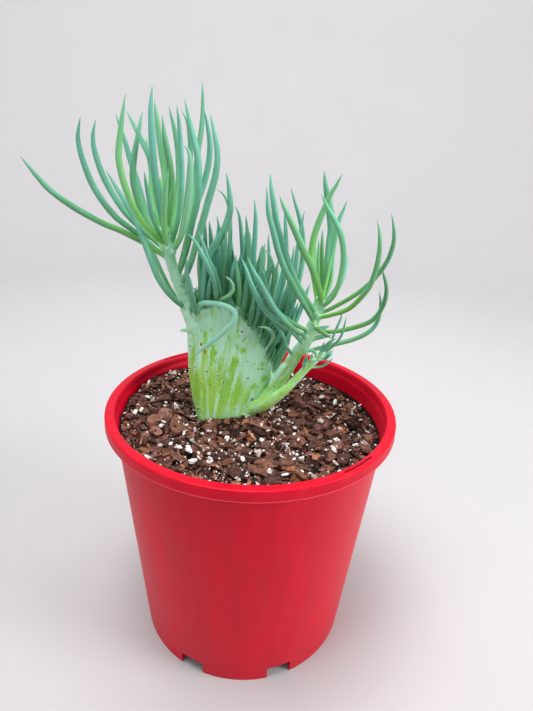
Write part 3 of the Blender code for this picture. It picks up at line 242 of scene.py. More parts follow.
LOWER_LEAVES = (
    (2.0, ((46, 222, -3.5), (52, 231, -6), (55.5, 243, -6.5), (58, 252, -7.5), (57, 257.5, -8.5))),
    (2.0, ((46, 222, -3), (54, 229.5, -4.5), (59.5, 238.5, -6), (61.5, 252, -6.5))),
    (2.4, ((45, 221, -3.5), (41, 226, -8), (36.5, 226.5, -11), (33.5, 222.5, -12))),
    (2.4, ((46, 222, -3.5), (48.5, 228, -7), (51.5, 232.5, -10), (56.5, 236, -12))),
    (2.4, ((45.5, 221.5, -3.5), (50, 223, 0.5), (55, 226.8, 3.5))),
    (2.3, ((44, 220, -3.5), (40.5, 218.8, -8), (38.5, 216, -10))),
    (2.6, ((45, 221, -3), (47, 220, 5), (51, 221, 11), (55, 225, 15))),
    (2.4, ((43, 219, -3.5), (39.8, 216.5, 2.5), (37.5, 217.5, 8.5), (36.3, 219.8, 12.5))),
)
CREST_LEAVES = (
    (4.4, ((-46, 251, 4), (-53, 256, -3), (-59.5, 262.5, -6), (-65.5, 272, -8), (-70, 284, -8.5),
        (-73.5, 295, -7), (-78.5, 309, -4), (-84, 319, -2), (-90, 329, 0), (-95.5, 339, 2))),
    (3.6, ((-46.5, 252, 5), (-53.5, 258.5, 9), (-59, 267.5, 14), (-63.5, 277, 18), (-68, 288, 22),
        (-74, 301, 26), (-81, 313, 29), (-87, 323, 31))),
    (3.3, ((-40, 247, 3), (-38, 255.6, -6), (-29.5, 256.8, -9), (-21, 255.4, -11), (-15.4, 252.7, -12),
        (-13.6, 248, -12.5), (-16.4, 242.5, -12), (-22, 236, -10.5), (-29, 229.4, -9),
        (-35.7, 223.5, -7.5), (-43, 217, -6.5))),
    (2.4, ((-29, 254, 3), (-26.5, 258.5, -4), (-19.9, 262, -7), (-15.7, 266.8, -9), (-17, 272.4, -10),
        (-22.3, 276.8, -10))),
    (2.6, ((8, 225, 11), (12.6, 234, 2), (11, 238.6, -2), (7.2, 241, -4), (2, 241.7, -5))),
    (4.8, ((-38, 250, 4), (-35.5, 275, -5), (-32, 290, -8), (-24.5, 301.3, -9), (-20.4, 312, -9),
        (-18.8, 321, -9), (-19.9, 332, -8), (-21.7, 341, -7))),
    (3.0, ((-18, 254, 7), (-19, 280, 16), (-18.5, 305, 22), (-19.2, 318, 24.5), (-21, 324.5, 25),
        (-23.8, 328.5, 25), (-27.6, 331, 25))),
    (3.2, ((-8, 251, 7), (-9, 275, 5), (-10.5, 295, 4), (-12, 309.7, 3), (-13.7, 317.4, 2),
        (-16.3, 321.5, 1.5))),
    (3.4, ((-5.5, 247, 7), (-5, 270, -1), (-6, 290, -4), (-8.9, 316, -6))),
    (3.6, ((-3, 243, 9), (-2.5, 270, 14), (-3, 293, 17), (-2.6, 304, 18), (-2.8, 317, 18),
        (-4, 326.3, 18))),
    (3.2, ((-27, 254, 5), (-24.5, 275, 4), (-23.5, 295, 3), (-27.3, 315.2, 2))),
    (4.4, ((3, 230, 12), (13, 262, 23), (17.5, 285, 28), (17, 304, 31), (15.2, 321, 33))),
    (4.2, ((9, 217, 15), (22, 250, 30), (28, 280, 40), (28.5, 297, 44), (26.8, 309.7, 46),
        (24.1, 318.4, 47), (20.9, 326.8, 48), (18.3, 334, 48))),
    (3.6, ((7, 222, 14), (19, 250, 21), (24, 275, 25), (25, 296, 28), (26.6, 311.8, 29),
        (27.8, 320.8, 29))),
    (3.2, ((5, 226, 13), (16, 252, 14), (21, 275, 14), (22.8, 298.4, 13))),
    (3.0, ((2, 233, 11), (9.5, 262, 3), (10.5, 280, -1), (8, 290, -3), (5, 294, -4), (2.9, 296, -4))),
    (3.0, ((-1, 241, 9), (5, 265, 9), (7, 285, 9), (5.8, 305.5, 9))),
    (3.4, ((-23, 254, 5), (-24.8, 267, -6), (-29.2, 280.3, -12), (-33, 287.5, -15), (-35.3, 294.8, -16),
        (-38.6, 303.8, -16))),
    (3.6, ((-28, 254, 4), (-27.2, 264, -8), (-29, 273.4, -14), (-32.5, 281.7, -19), (-36.9, 290.4, -22),
        (-41.1, 297.7, -23), (-45.7, 302.6, -23))),
    (3.2, ((-12, 252, 6), (-11.5, 265, -5), (-12.5, 275, -9), (-14, 283, -10), (-16, 288.5, -10))),
)

# Leaves that fill the crest by rule
CREST_COLUMNS = 21
CREST_ROWS = 5
CREST_SEED = 7
CREST_TRIES = 24
COLUMN_JITTER = 0.4  # of a root along the edge, in columns
CREST_ENDS = (0.05, 0.985)  # the first and last root, as shares of the growing edge
CREST_LOW_FROM = 0.55  # past this share the edge runs down the right side
CREST_BARE_FROM = 0.58  # past this share the front rows have no leaves
CREST_ROOT_SPREAD = 2.3 * MM  # of the outer rows from the middle of the edge
CREST_ROOT_DEPTH = (3.0 * MM, 2.4 * MM)  # of the middle row, and more than that in the outer rows
CREST_LENGTH = (34 * MM, 62 * MM)
CREST_LENGTH_LOW = 16 * MM  # more than that on the right side
CREST_WIDTH = (3.2, 4.6)
CREST_LIFT = (0.02, 0.16)  # how much the leaves turn up towards their tips
LEAN_RIGHT = (-14, 30, 30, 13)  # degrees: at the left, added at the right, added where low, at random
LEAN_BACK = (6, 30, 10, 11)  # degrees: in the middle row, added in the outer rows, added where low, at random
LEAF_CLEARANCE = 0.9 * MM  # between leaves of different pieces
CREST_CLEARANCE = 0.3 * MM  # between leaves of the crest
ROOT_SHARE_TESTED = 0.22  # the first part of a leaf may touch its neighbours
LEAF_SAMPLES = 14

SHOOTS = (  # name, centre points, radii, leaves
    ("left_shoot", LEFT_STEM, LEFT_STEM_RADII, LEFT_LEAVES),
    ("upper_right_shoot", UPPER_STEM, UPPER_STEM_RADII, UPPER_LEAVES),
    ("lower_right_shoot", LOWER_STEM, LOWER_STEM_RADII, LOWER_LEAVES),
)

# Finer leaves than the source has: more in the gaps of the crest, and young ones along its top
EXTRA_SEED = 21
EXTRA_COLUMNS = 34
EXTRA_CLEARANCE = -0.3 * MM
EXTRA_SIZE = 0.78
LEAF_SWAYS = (0.1, 0.16)  # how far the fill and the finer leaves bend sideways, in shares of their length
BUD_SWAY = 0.3
BUD_SEED = 5
BUD_COUNT = 80
BUD_PLACES = (0.02, 0.99)  # shares of the growing edge
BUD_LENGTH = (9 * MM, 22 * MM)
BUD_WIDTH = (1.6, 2.6)
BUD_LEAN_RIGHT = (-16, 30, 36, 18)
BUD_LEAN_BACK = (0, 34, 0, 16)
BRISTLE_COUNT = 170  # tiny leaves on the front of the edge
BRISTLE_PLACES = (0.06, 0.86)
BRISTLE_LENGTH = (2.5 * MM, 8 * MM)
BRISTLE_WIDTH = (0.7, 1.3)

# Leaves by rule stand more upright at the left shoulder and on the right slope, each over a range of x
SHOULDER_TURN = math.radians(24)
SHOULDER_RANGE = (-46 * MM, -32 * MM)
SLOPE_TURN = math.radians(54)
SLOPE_JITTER = math.radians(13)
SLOPE_RANGE = (0, 24 * MM)
SLOPE_THINNING = (0.55, 0.9)  # share of the fill and of the finer leaves left out on the slope
THINNED_RANGE = (2 * MM, 20 * MM)

# How yellow-green a listed leaf is, from 0 to 1
FRESH_LEAVES = {
    "left_shoot": {2: 0.1, 3: 0.75, 7: 0.5, 10: 0.35, 11: 0.4, 12: 0.1, 16: 0.5, 17: 0.05, 20: 0.4,
                   21: 0.35, 22: 0.65, 23: 0.85, 24: 0.75, 25: 0.8},
    "upper_right_shoot": {1: 0.15, 2: 0.05, 5: 0.4, 6: 0.3, 7: 0.7, 8: 0.5, 11: 0.4, 12: 0.5, 13: 0.5,
                          14: 0.6, 15: 0.6, 16: 0.7, 25: 0.5},
    "lower_right_shoot": {2: 0.3, 6: 0.3},
    "crested_fan": {0: 0.2, 1: 0.35, 3: 0.5, 4: 0.6, 6: 0.35, 8: 0.3, 15: 0.5, 19: 0.4},
}
# How much more bloom than the others a listed leaf has, or less where below 0
BLOOM_LEAVES = {
    "left_shoot": {0: 0.1, 2: -0.45, 3: 0.1, 9: 0.25, 13: 0.15, 14: 0.1, 16: 0.2, 17: -0.3, 18: 0.15,
                   19: 0.08, 22: 0.1},
    "upper_right_shoot": {0: -0.35, 1: -0.2, 2: -0.4, 3: -0.5, 9: -0.1, 18: 0.15, 21: -0.25, 22: -0.25,
                          23: -0.2},
    "crested_fan": {2: 0.5},
}
# How much of the stems' pale bloom a listed leaf has along its whole length
PALE_LEAVES = {"crested_fan": {2: 0.5, 3: 0.3, 4: 0.3}, "left_shoot": {16: 0.25}}
# How wide a listed leaf is in proportion to the source's
LEAF_WIDTHS = {
    "crested_fan": {2: 1.22},
    "left_shoot": {9: 0.84},
    "upper_right_shoot": {0: 0.82, 1: 0.82, 2: 0.82, 3: 0.82, 7: 0.8, 9: 0.9, 10: 0.9},
}
DRY_TIPPED = {"crested_fan": (3, 6, 15, 19), "lower_right_shoot": (2, 5)}

# The tuft of fine leaves at the end of the small shoot
TUFT_SEED = 8
TUFT_LEAVES = 9
TUFT_LENGTH = (8 * MM, 21 * MM)
TUFT_WIDTH = (1.3, 2.2)
TUFT_SECTIONS = 40
TUFT_PLACES = (30, 38)  # of those sections

# The swelling that runs up beside the upper right stem
FLANK_SHIFT = Vector((-2.3, 0, 1.1)) * MM
FLANK_FROM = 0.2  # where it starts, as a share of the stem
FLANK_RINGS = 16  # over which it grows
FLANK_SIZE = (0.5, 0.42)  # at its start, and what it gains, in radii of the stem

# The form of a leaf
LEAF_SWELL = (0.68, 0.32, 0.4)  # radius at its root, what that gains, and the share of its length it takes
LEAF_TAPER = (0.58, 0.42, 2.4)  # the share where it tapers, the rest of it, and how late the taper comes
BLUNTNESS = 0.76  # below 1, a finished leaf stays fuller towards its tip than its plain form
TIP_RADIUS = 0.24 * MM
UNEVENNESS = 0.05
DEAD_SHRINKAGE = 0.35
LEAF_SIDES = 12
LEAF_RING_STEP = 2.6 * MM
LEAF_RINGS_LEAST = 15
TIP_CROWDING = 1.5  # above 1, the rings stand closer towards the tip
TIP_STOP = 0.997  # the share of its route at which a leaf ends
CHANNEL_DEPTH = 0.16  # of the shallow channel along a leaf's upper side, in radii
CHANNEL_WIDTH = 0.6
LEAF_FLATNESS = 0.9
BLOOM_VARIETY = (-0.22, 0.2)
FRESH_VARIETY = (-0.05, 0.2)
YOUNG_FRESHNESS = (0.2, 0.6)
DEAD_TIP = (1.2, 2.4)  # its length, in millimetres
LEAF_GRAIN_SPREAD = 400  # how far apart the grain of two leaves may start, in millimetres
GRAIN_SPREAD = 300  # the same for loose pieces of the mix

# The skin that the fan and the stems share
CREST_COLLAR = (6.5 * MM, 0.5)  # how far it runs up a leaf of the crest, and how much it swells its root
SHOOT_COLLAR = (5.0 * MM, 0.3)
COLLAR_STEPS = 5
COLLAR_SIDES = 12
STEM_SIDES = 28
STEM_RINGS = 90
FAN_RINGS = 56
FAN_OUTLINE = (12, 44)  # points round each end of the oval, and along its front and its back
FAN_GRID = (110, 80)  # places looked up across the fan, and up it
SKIN_CELL = 0.515 * MM
SKIN_EASING = 9
SKIN_LIFT = 0.16  # in millimetres, over the plain tubes
KNOBBLE = (0.45, 0.35, 0.25)  # unevenness of the three stems, in millimetres
LEAF_ROOT_OUT = 4.2 * MM  # how far up a leaf its root leaves the skin
GOLDEN_TURN = math.radians(137.5)

# Places on the fan's front, as (x, z) on the drawing plane, with half width, half height and tilt
RUBBED_PATCHES = (
    (-41, 235.6, 1.1, 4.6, 0.1), (-30.3, 238.2, 0.9, 2.6, -0.15), (-37, 236.7, 0.7, 1.6, 0),
    (-34.4, 233.6, 1.3, 3.6, 0.2), (-12.3, 237.7, 1.3, 1.7, 0), (-11.1, 233.7, 1, 1.6, 0),
    (-7.3, 231.9, 1, 3, -0.5), (-18.2, 232.5, 0.7, 2.8, 0.25), (-12, 225.9, 1, 2.6, 0),
    (-8.2, 223.6, 2.2, 2.6, 0), (-29, 219, 3.2, 10, 0), (-13.3, 214.2, 3.6, 4, 0.3),
    (-16.5, 208.9, 2, 5, -0.5), (-4.5, 215.1, 1.2, 1.1, 0.8), (0.6, 213.3, 0.8, 0.8, 0),
    (6, 213.4, 1.4, 1.9, 0), (6.2, 209.6, 2, 1.1, 0), (-20.6, 191.3, 5.5, 15, 0.05),
    (-40.5, 190, 2.2, 17, 0.03), (-35.5, 181, 2, 12, 0), (-11.2, 191.8, 2.6, 13, -0.12),
    (0.5, 195.2, 3, 2.4, 0.4), (-42.5, 219, 1.2, 8, 0), (-24.5, 209, 1.3, 8, 0.05),
    (8, 202, 2.6, 1.8, 0.9), (-3.5, 186, 1.6, 7, -0.2), (-31.5, 197, 1.2, 7, 0),
    (-15.6, 200, 1.6, 9, -0.25),
)
LEAF_SCARS = (
    (-37.4, 226.1, 1.3, 2.2), (-45, 224.4, 1.1, 1), (-34.8, 220.5, 1.2, 3), (-41.7, 208.3, 1.1, 0.9),
    (-45.6, 207.2, 1, 1), (-33.6, 205.3, 1.2, 1.4), (-25, 202.4, 1.5, 1.2), (-21.5, 197, 1.2, 0.9),
    (-30.8, 194.7, 1.1, 0.9), (-37.1, 195.2, 1.1, 1), (-3.8, 201.9, 1.2, 1.2), (0.2, 183.6, 2.2, 3.2),
    (6.3, 188.4, 0.9, 3.4), (-9, 237.4, 1.8, 1.2), (-5, 214.8, 1, 0.9), (-39.5, 174.5, 1.6, 1.3),
    (-12.5, 176.5, 0.9, 0.8), (3.2, 209.5, 0.9, 0.9), (-26.5, 230.5, 0.8, 0.9), (-44.3, 190.5, 0.8, 1.1),
)
BACK_SEED = 14
BACK_PATCHES = 26
BACK_SCARS = 22

# Pieces of bark that stand out in the mix: x, y, length, width, turn in degrees, brightness, orange
LARGE_CHIPS = (
    (14.4, -53, 18, 14, 20, 0.55, 0.25), (25.9, -48.6, 19, 14, 75, 0.4, 0.05),
    (36.6, -54.4, 13, 10, 10, 0.3, 0.05), (44.4, -41.3, 12, 8, 80, 0.75, 0.85),
    (33.9, -67.3, 13, 11, 100, 0.55, 0.35), (21, -6, 16, 10, -20, 0.3, 0.05),
    (30.6, 13.1, 12, 10, 60, 0.5, 0.4), (33, 37, 13, 11, 30, 0.3, 0.1), (53.5, 58, 11, 8, 0, 0.6, 0.5),
    (48.1, 32.2, 20, 8, -20, 0.35, 0.1), (68.2, 13.8, 14, 8, -30, 0.5, 0.4),
    (39.6, -9, 20, 3.6, -82, 0.8, 0.75), (34.8, -25.6, 13, 8, -75, 0.5, 0.3),
    (9.5, -63.3, 24, 6, -8, 0.45, 0.1), (73.8, 26.2, 7, 6, 0, 0.65, 0.4),
    (6, -12.5, 24, 4.2, -12, 0.6, 0.25), (59.6, -7.4, 12, 8, 20, 0.5, 0.35),
    (16.7, -71.5, 15, 9, 5, 0.25, 0), (-82, 27.5, 11, 8, 80, 0.6, 0.3), (-74, 41, 17, 8, -25, 0.5, 0.3),
    (-68, 44.8, 14, 9, 10, 0.35, 0.1), (-57, 56, 10, 8, 60, 0.6, 0.6), (-68, -15.5, 14, 10, 35, 0.7, 0.3),
    (-51.5, -20, 15, 11, -40, 0.45, 0.25), (-32.8, -36.1, 13, 10, 90, 0.45, 0.1),
    (-25.6, -33.9, 12, 10, 120, 0.6, 0.25), (-7.8, -50.2, 16, 9, 0, 0.25, 0),
    (-53, -54.4, 15, 8, 40, 0.5, 0.35), (-15.1, -36.3, 15, 8, -20, 0.3, 0.1),
    (-66.2, 16.1, 12, 9, 20, 0.35, 0.1), (-78.6, -20.2, 11, 8, 40, 0.5, 0.4),
    (-42.4, -57.8, 10, 8, 0, 0.45, 0.2), (2, -74, 9, 3, 85, 0.85, 0.95),
)
LARGE_GRAINS = (  # perlite: x, y, width
    (65.1, 37.6, 4.6), (57.5, 10, 4.4), (50.9, 2.9, 4.8), (56.8, -35.2, 4.8), (60.7, -22, 5),
    (35, -46.7, 4.6), (-3, -52, 5), (6.7, -42.4, 5.6), (55.9, -21.1, 3.6), (23.9, -67.5, 4.2),
    (73.3, -25.6, 3.4), (62.4, 18.8, 3.4), (8.8, -27, 3.6), (14.5, -64.4, 4.4), (54.9, 44.9, 4.4),
    (31.5, -7.5, 3.2), (57.5, -46.5, 3.4), (78.4, -7.8, 3), (41.4, -63.2, 4.4), (76.9, 21.4, 3.2),
    (12.3, -16.8, 3.4), (31.9, -45.7, 2.8), (-77.9, 11.8, 4.2), (-79.6, -3.1, 3.8), (-83, -7, 4),
    (-50.1, -12.9, 3.2), (-61.3, -23.5, 4), (-45.2, -26.1, 4.2), (-51.5, -40.2, 3.4), (-44.9, -49.1, 4),
    (-38.3, -49.1, 5.4), (-34.3, -59.6, 7), (-23.6, -58, 5.6), (-65.5, 50.4, 6.4), (-15.9, -26.7, 4),
    (-63.1, -55.1, 4.2), (-33.1, -22.8, 3), (-28.7, -21.7, 3.4), (-63.9, 4.4, 3.2), (-55.3, 1.3, 4.4),
    (-57.8, -44, 3.2),
)

# The rest of the loose mix
SCATTER_SEED = 33
CHIP_SIZES = ((1500, 1.6, 5.0), (1500, 4.0, 9.5), (300, 8.0, 15.0))  # how many, shortest and longest in mm
TOP_CHIPS = (620, 1.6, 4.2)
THICK_RINGS = ((0.78, -0.5), (1.0, -0.3), (1.0, 0.32), (0.9, 0.5))  # of a chip: how wide and how high
THIN_RINGS = ((0.9, -0.45), (0.96, 0.45))
LARGE_FROM = 5  # chips that may be longer than this, in millimetres, get thick rings
CHIP_THICKNESS = (0.45 * MM, 2.2 * MM)
BROAD_SHARE = 0.62  # of the chips, the rest being splinters
CHIP_SINK = (0.1, 0.6)  # of a chip's thickness
ASKEW_SHARE = 0.16
ASKEW = 2.2  # how much more those chips tilt
CRUMB_COUNT = 1300
CRUMB_SIZE = (0.6, 1.8)
GRAIN_COUNT = 900
GRAIN_SIZE = (0.6, 2.9)
FIBRE_COUNT = 50
LOOSE_DEPTH = 3.4  # of the loose pieces under the mix's surface, in millimetres
FOOT_HEAP = (-0.4, 5.0)  # how much higher they lie before the left and the right end of the plant's foot
EDGE_CHIPS = 420  # small chips along the pot's wall
GROUND_CELL = 0.8 * MM
STEEPEST = 0.4  # slope of a piece that lies on the ground
RESTING_SHARE = 0.8  # of the ground under it that a piece lies on or above
NOTCH_CRUMBS = 9
MIX_RINGS = 110
MIX_SEGMENTS = 260

# Edges sharper than these show as creases
POT_CREASE = math.radians(32)
MIX_CREASE = math.radians(60)
CHIP_CREASE = math.radians(28)
GRAIN_CREASE = math.radians(26)

# Two scuffs on the front of the pot, each with its radius in millimetres
SCUFFS = ((Vector((-47.6, -70.2, 91.5)) * MM, 1.6), (Vector((-48.2, -68.8, 80.0)) * MM, 1.3))

# The camera, at the place from which the photograph shows the pot
CAMERA_PLACE = Vector((8.71, -335.2, 369.8)) * MM
CAMERA_PITCH = math.radians(23.71)
CAMERA_ROLL = math.radians(3.0)
FOCAL_PIXELS = 528.85
PHOTO_HEIGHT = 711
SENSOR = 36.0

# The studio: a flat floor that turns up into a round backdrop
STAGE_FLAT = 1.1
STAGE_CURVE = 0.7
STAGE_WALL = 2.2
STAGE_BENDS = 18
STAGE_SEGMENTS = 96
LIGHTS = (  # name, place, aim, width, watts for each unit of light strength
    ("overhead_light", (-0.25, -0.25, 1.5), (0, 0, 0.2), 0.7, 12.8),
    ("right_light", (1.1, -0.4, 0.7), (0, 0, 0.15), 0.6, 12.0),
    ("left_light", (-0.9, -0.7, 0.7), (0, 0, 0.2), 0.7, 2.2),
    ("backdrop_light", (0, 0.2, 1.7), (0, 1.8, 1.0), 0.9, 25.0),
)


def srgb(red, green, blue):
    """A colour given by its 8-bit screen values, as a shader wants it."""
    return tuple(((value / 255 + 0.055) / 1.055) ** 2.4 for value in (red, green, blue))


def smoothstep(value, low, high):
    """An eased step from 0 at the low value to 1 at the high one."""
    t = min(1.0, max(0.0, (value - low) / (high - low)))
    return t * t * (3 - 2 * t)


def stepped(values, low, high):
    """The same step for a whole array."""
    t = np.clip((values - low) / (high - low), 0, 1)
    return t * t * (3 - 2 * t)


def colour_setting(name, description, default):
    return FloatVectorProperty(name=name, description=description, subtype="COLOR", min=0, max=1,
                               default=default)


class PotSettings(bpy.types.PropertyGroup):
    red: colour_setting("Red", "Colour of the moulded plastic", srgb(212, 0, 40))
    # The thin mould edge is real; its paler colour is partly its own and partly a painted highlight.
    flash: colour_setting("Flash", "Colour of the thin edge that the mould leaves", srgb(240, 90, 115))
    dust: colour_setting("Dust", "Colour of the dust and scuffs on the wall", srgb(235, 190, 190))
    dust_amount: FloatProperty(name="Dust Amount", description="How much of the wall is dusty",
                               default=0.07, min=0, max=1, subtype="FACTOR")
    flash_width: FloatProperty(name="Flash Width", description="How far the mould's edge stands out",
                               default=0.14 * MM, min=0, max=0.002, unit="LENGTH")


class MixSettings(bpy.types.PropertyGroup):
    soil: colour_setting("Fine Matter", "Colour between the chips", srgb(18, 10, 9))
    bark_dark: colour_setting("Dark Bark", "Colour of the darkest chips", srgb(36, 20, 17))
    bark_light: colour_setting("Light Bark", "Colour of the palest chips", srgb(154, 108, 95))
    bark_orange: colour_setting("Fresh Bark", "Colour of freshly broken bark", srgb(198, 126, 82))
    perlite: colour_setting("Perlite", "Colour of the perlite grains", srgb(246, 246, 243))


class PlantSettings(bpy.types.PropertyGroup):
    leaf: colour_setting("Leaf", "Skin of a grown leaf under its bloom", srgb(57, 124, 52))
    fresh: colour_setting("New Growth", "Skin of a young leaf", srgb(132, 206, 58))
    bloom: colour_setting("Leaf Bloom", "Chalky bloom on a leaf", srgb(112, 190, 170))
    rubbed: colour_setting("Rubbed Skin", "Green of the stems where their bloom is gone", srgb(138, 208, 56))
    skin: colour_setting("Stem Skin", "Skin of the stems under their bloom", srgb(168, 230, 88))
    stem_bloom: colour_setting("Stem Bloom", "Chalky bloom on the stems", srgb(192, 250, 220))
    dry: colour_setting("Dry Tissue", "Colour of scars and dead tips", srgb(172, 124, 94))
    bloom_amount: FloatProperty(name="Bloom Amount", description="How much bloom the leaves carry",
                                default=0.62, min=0, max=1, subtype="FACTOR")


class StageSettings(bpy.types.PropertyGroup):
    floor: colour_setting("Floor", "Colour of the floor and backdrop", srgb(192, 191, 193))
    strength: FloatProperty(name="Light Strength", description="Brightness of the studio lights",
                            default=1.0, min=0, max=10)
    sky: FloatProperty(name="Surrounding Light", description="Brightness of the light from all round",
                       default=0.39, min=0, max=10)


class ChalkSticksSettings(bpy.types.PropertyGroup):
    pot: PointerProperty(type=PotSettings)
    mix: PointerProperty(type=MixSettings)
    plant: PointerProperty(type=PlantSettings)
    stage: PointerProperty(type=StageSettings)


def placed(x, z, y):
    """A drawn point in metres, carried along the line of sight to its real depth."""
    depth = y * MM
    reach = (depth - EYE.y) / (DRAWING_PLANE - EYE.y)
    return Vector((EYE.x + (x * MM - EYE.x) * reach, depth, EYE.z + (z * MM - EYE.z) * reach))


def smooth_route(points, steps=10):
    """Closely spaced points on a smooth curve through the given ones."""
    guides = [points[0] * 2 - points[1], *points, points[-1] * 2 - points[-2]]
    route = []
    for before, start, end, after in zip(guides, guides[1:], guides[2:], guides[3:]):
        for step in range(steps):
            t = step / steps
            bend = (2 * before - 5 * start + 4 * end - after) * t**2
            twist = (3 * start - before - 3 * end + after) * t**3
            route.append((2 * start + (end - before) * t + bend + twist) / 2)
    route.append(points[-1].copy())
    return route


def lengths_along(route):
    lengths = [0.0]
    for start, end in zip(route, route[1:]):
        lengths.append(lengths[-1] + (end - start).length)
    return lengths


def at_share(route, lengths, share):
    """The point and direction at a share of the route's length."""
    wanted = share * lengths[-1]
    index = 0
    while index < len(route) - 2 and lengths[index + 1] < wanted:
        index += 1
    span = lengths[index + 1] - lengths[index]
    t = (wanted - lengths[index]) / span
    return route[index].lerp(route[index + 1], t), (route[index + 1] - route[index]).normalized()


def leaf_radius(width, share, bluntness=1.0):
    """A finger leaf: narrow at its root, full past its middle and tapered over its last part."""
    at_root, gain, full_at = LEAF_SWELL
    taper_from, taper_length, lateness = LEAF_TAPER
    swell = at_root + gain * math.sin(min(share / full_at, 1.0) * math.pi / 2)
    taper = max(0.0, 1.0 - max(0.0, (share - taper_from) / taper_length) ** lateness)
    return width * MM / 2 * swell * taper**bluntness


def drawn_route(points):
    """The smooth route through drawn points, and the lengths along it."""
    route = smooth_route([placed(*point) for point in points])
    return route, lengths_along(route)


def leaf_through(points, width):
    """A leaf of this width, in millimetres, on a smooth route through the points."""
    route = smooth_route(points)
    return width, route, lengths_along(route)


def leaf_samples(width, route, lengths, first_share=0.0):
    """Centre points and radii along a leaf, for the clearance between leaves."""
    samples = []
    for index in range(LEAF_SAMPLES + 1):
        share = first_share + (1.0 - first_share) * index / LEAF_SAMPLES
        centre, _ = at_share(route, lengths, share)
        samples.append((*centre, leaf_radius(width, min(share, 0.97))))
    return samples


def stem_sections(points, radii, sections):
    """Centre, direction and radius at even steps along a stem."""
    steps = 6
    route = smooth_route([placed(*point) for point in points], steps)
    lengths = lengths_along(route)
    made = []
    for step in range(sections):
        share = step / (sections - 1)
        centre, direction = at_share(route, lengths, share)
        index = 0
        while index < len(route) - 2 and lengths[index + 1] < share * lengths[-1]:
            index += 1
        place = index / steps
        low = min(int(place), len(radii) - 2)
        radius = (radii[low] * (1 - place + low) + radii[low + 1] * (place - low)) * MM
        made.append((centre, direction, radius))
    return made


def clear_of(samples, taken, clearance):
    """Whether all the samples are at least this far from everything that is already there."""
    offsets = samples[:, None, :3] - taken[None, :, :3]
    distances = np.sqrt((offsets**2).sum(axis=2))
    return bool((distances > samples[:, None, 3] + taken[None, :, 3] + clearance).all())


@functools.cache
def crest_route():
    return drawn_route(CREST_LINE)


def crest_place(share):
    """Point and direction on the fan's growing edge, from 0 at the left shoulder to 1 at the right end."""
    return at_share(*crest_route(), share)


def crest_root(share, side, depth):
    """The root of a leaf this deep inside the growing edge, in its front rows where side is negative."""
    edge, direction = crest_place(share)
    inward = Vector((direction.z, 0, -direction.x)).normalized()
    return edge + inward * depth + Vector((0, side * CREST_ROOT_SPREAD, 0))


def how_low(share):
    """How far down the right side a place on the growing edge is, from 0 to 1."""
    return max(0.0, share - CREST_LOW_FROM) / (1 - CREST_LOW_FROM)


def leaning(draw, share, side, rightwards, backwards):
    """The heading of a leaf by its place on the growing edge, with its random part."""
    leans = []
    for (start, gain, where_low, jitter), amount in ((rightwards, share), (backwards, side)):
        lean = start + gain * amount + where_low * how_low(share) + draw.uniform(-jitter, jitter)
        leans.append(math.tan(math.radians(lean)))
    return Vector((*leans, 1.0)).normalized()


def crest_leaf(draw, column, side, columns, size):
    """A slightly rising leaf whose root and lean follow its place on the growing edge."""
    share = (column + 0.5 + draw.uniform(-COLUMN_JITTER, COLUMN_JITTER)) / columns
    share = min(CREST_ENDS[1], max(CREST_ENDS[0], share))
    root = crest_root(share, side, CREST_ROOT_DEPTH[0] + CREST_ROOT_DEPTH[1] * abs(side))
    heading = leaning(draw, share, side, LEAN_RIGHT, LEAN_BACK)
    length = (draw.uniform(*CREST_LENGTH) + CREST_LENGTH_LOW * how_low(share)) * size
    width = draw.uniform(*CREST_WIDTH) * math.sqrt(size)
    lift = Vector((0, 0, draw.uniform(*CREST_LIFT)))
    rising = root + (heading + lift * 0.6).normalized() * length * 0.7
    tip = root + (heading + lift * 1.6).normalized() * length
    return leaf_through([root, root + heading * length * 0.35, rising, tip], width)


def fill_crest(draw, others, own, columns, clearances, size=1.0):
    """Leaves in rows along the growing edge, each clear of what is already there."""
    others, own = np.array(others), np.array(own)
    leaves = []
    for column in range(columns):
        first_row = CREST_ROWS // 2 if column > CREST_BARE_FROM * columns else 0
        for row in range(first_row, CREST_ROWS):
            side = row / (CREST_ROWS - 1) * 2 - 1
            for _ in range(CREST_TRIES):
                leaf = crest_leaf(draw, column, side, columns, size)
                samples = np.array(leaf_samples(*leaf, first_share=ROOT_SHARE_TESTED))
                if clear_of(samples, others, clearances[0]) and clear_of(samples, own, clearances[1]):
                    leaves.append(leaf)
                    own = np.vstack((own, samples))
                    break
    return leaves, own


def listed_leaves(leaves):
    return [(width, *drawn_route(points)) for width, points in leaves]


@functools.cache
def all_crest_leaves():
    """The listed leaves of the crest, the source's own fill, and the finer leaves between them."""
    others = []
    for _, stem, radii, leaves in SHOOTS:
        others += [(*centre, radius) for centre, _, radius in stem_sections(stem, radii, 30)]
        for leaf in listed_leaves(leaves):
            others += leaf_samples(*leaf)
    listed = listed_leaves(CREST_LEAVES)
    own = [sample for leaf in listed for sample in leaf_samples(*leaf, first_share=ROOT_SHARE_TESTED)]
    clearances = (LEAF_CLEARANCE, CREST_CLEARANCE)
    fill, own = fill_crest(random.Random(CREST_SEED), others, own, CREST_COLUMNS, clearances)
    clearances = (CREST_CLEARANCE, EXTRA_CLEARANCE)
    extra, _ = fill_crest(random.Random(EXTRA_SEED), others, own, EXTRA_COLUMNS, clearances, EXTRA_SIZE)
    draw = random.Random(EXTRA_SEED)
    finished = []
    for leaves, sway, thinning in zip((fill, extra), LEAF_SWAYS, SLOPE_THINNING):
        kept = [leaf for leaf in leaves
                if draw.random() > thinning * smoothstep(leaf[1][0].x, *THINNED_RANGE)]
        finished.append([swayed(stood_up(leaf, draw), draw, sway) for leaf in kept])
    return listed, *finished


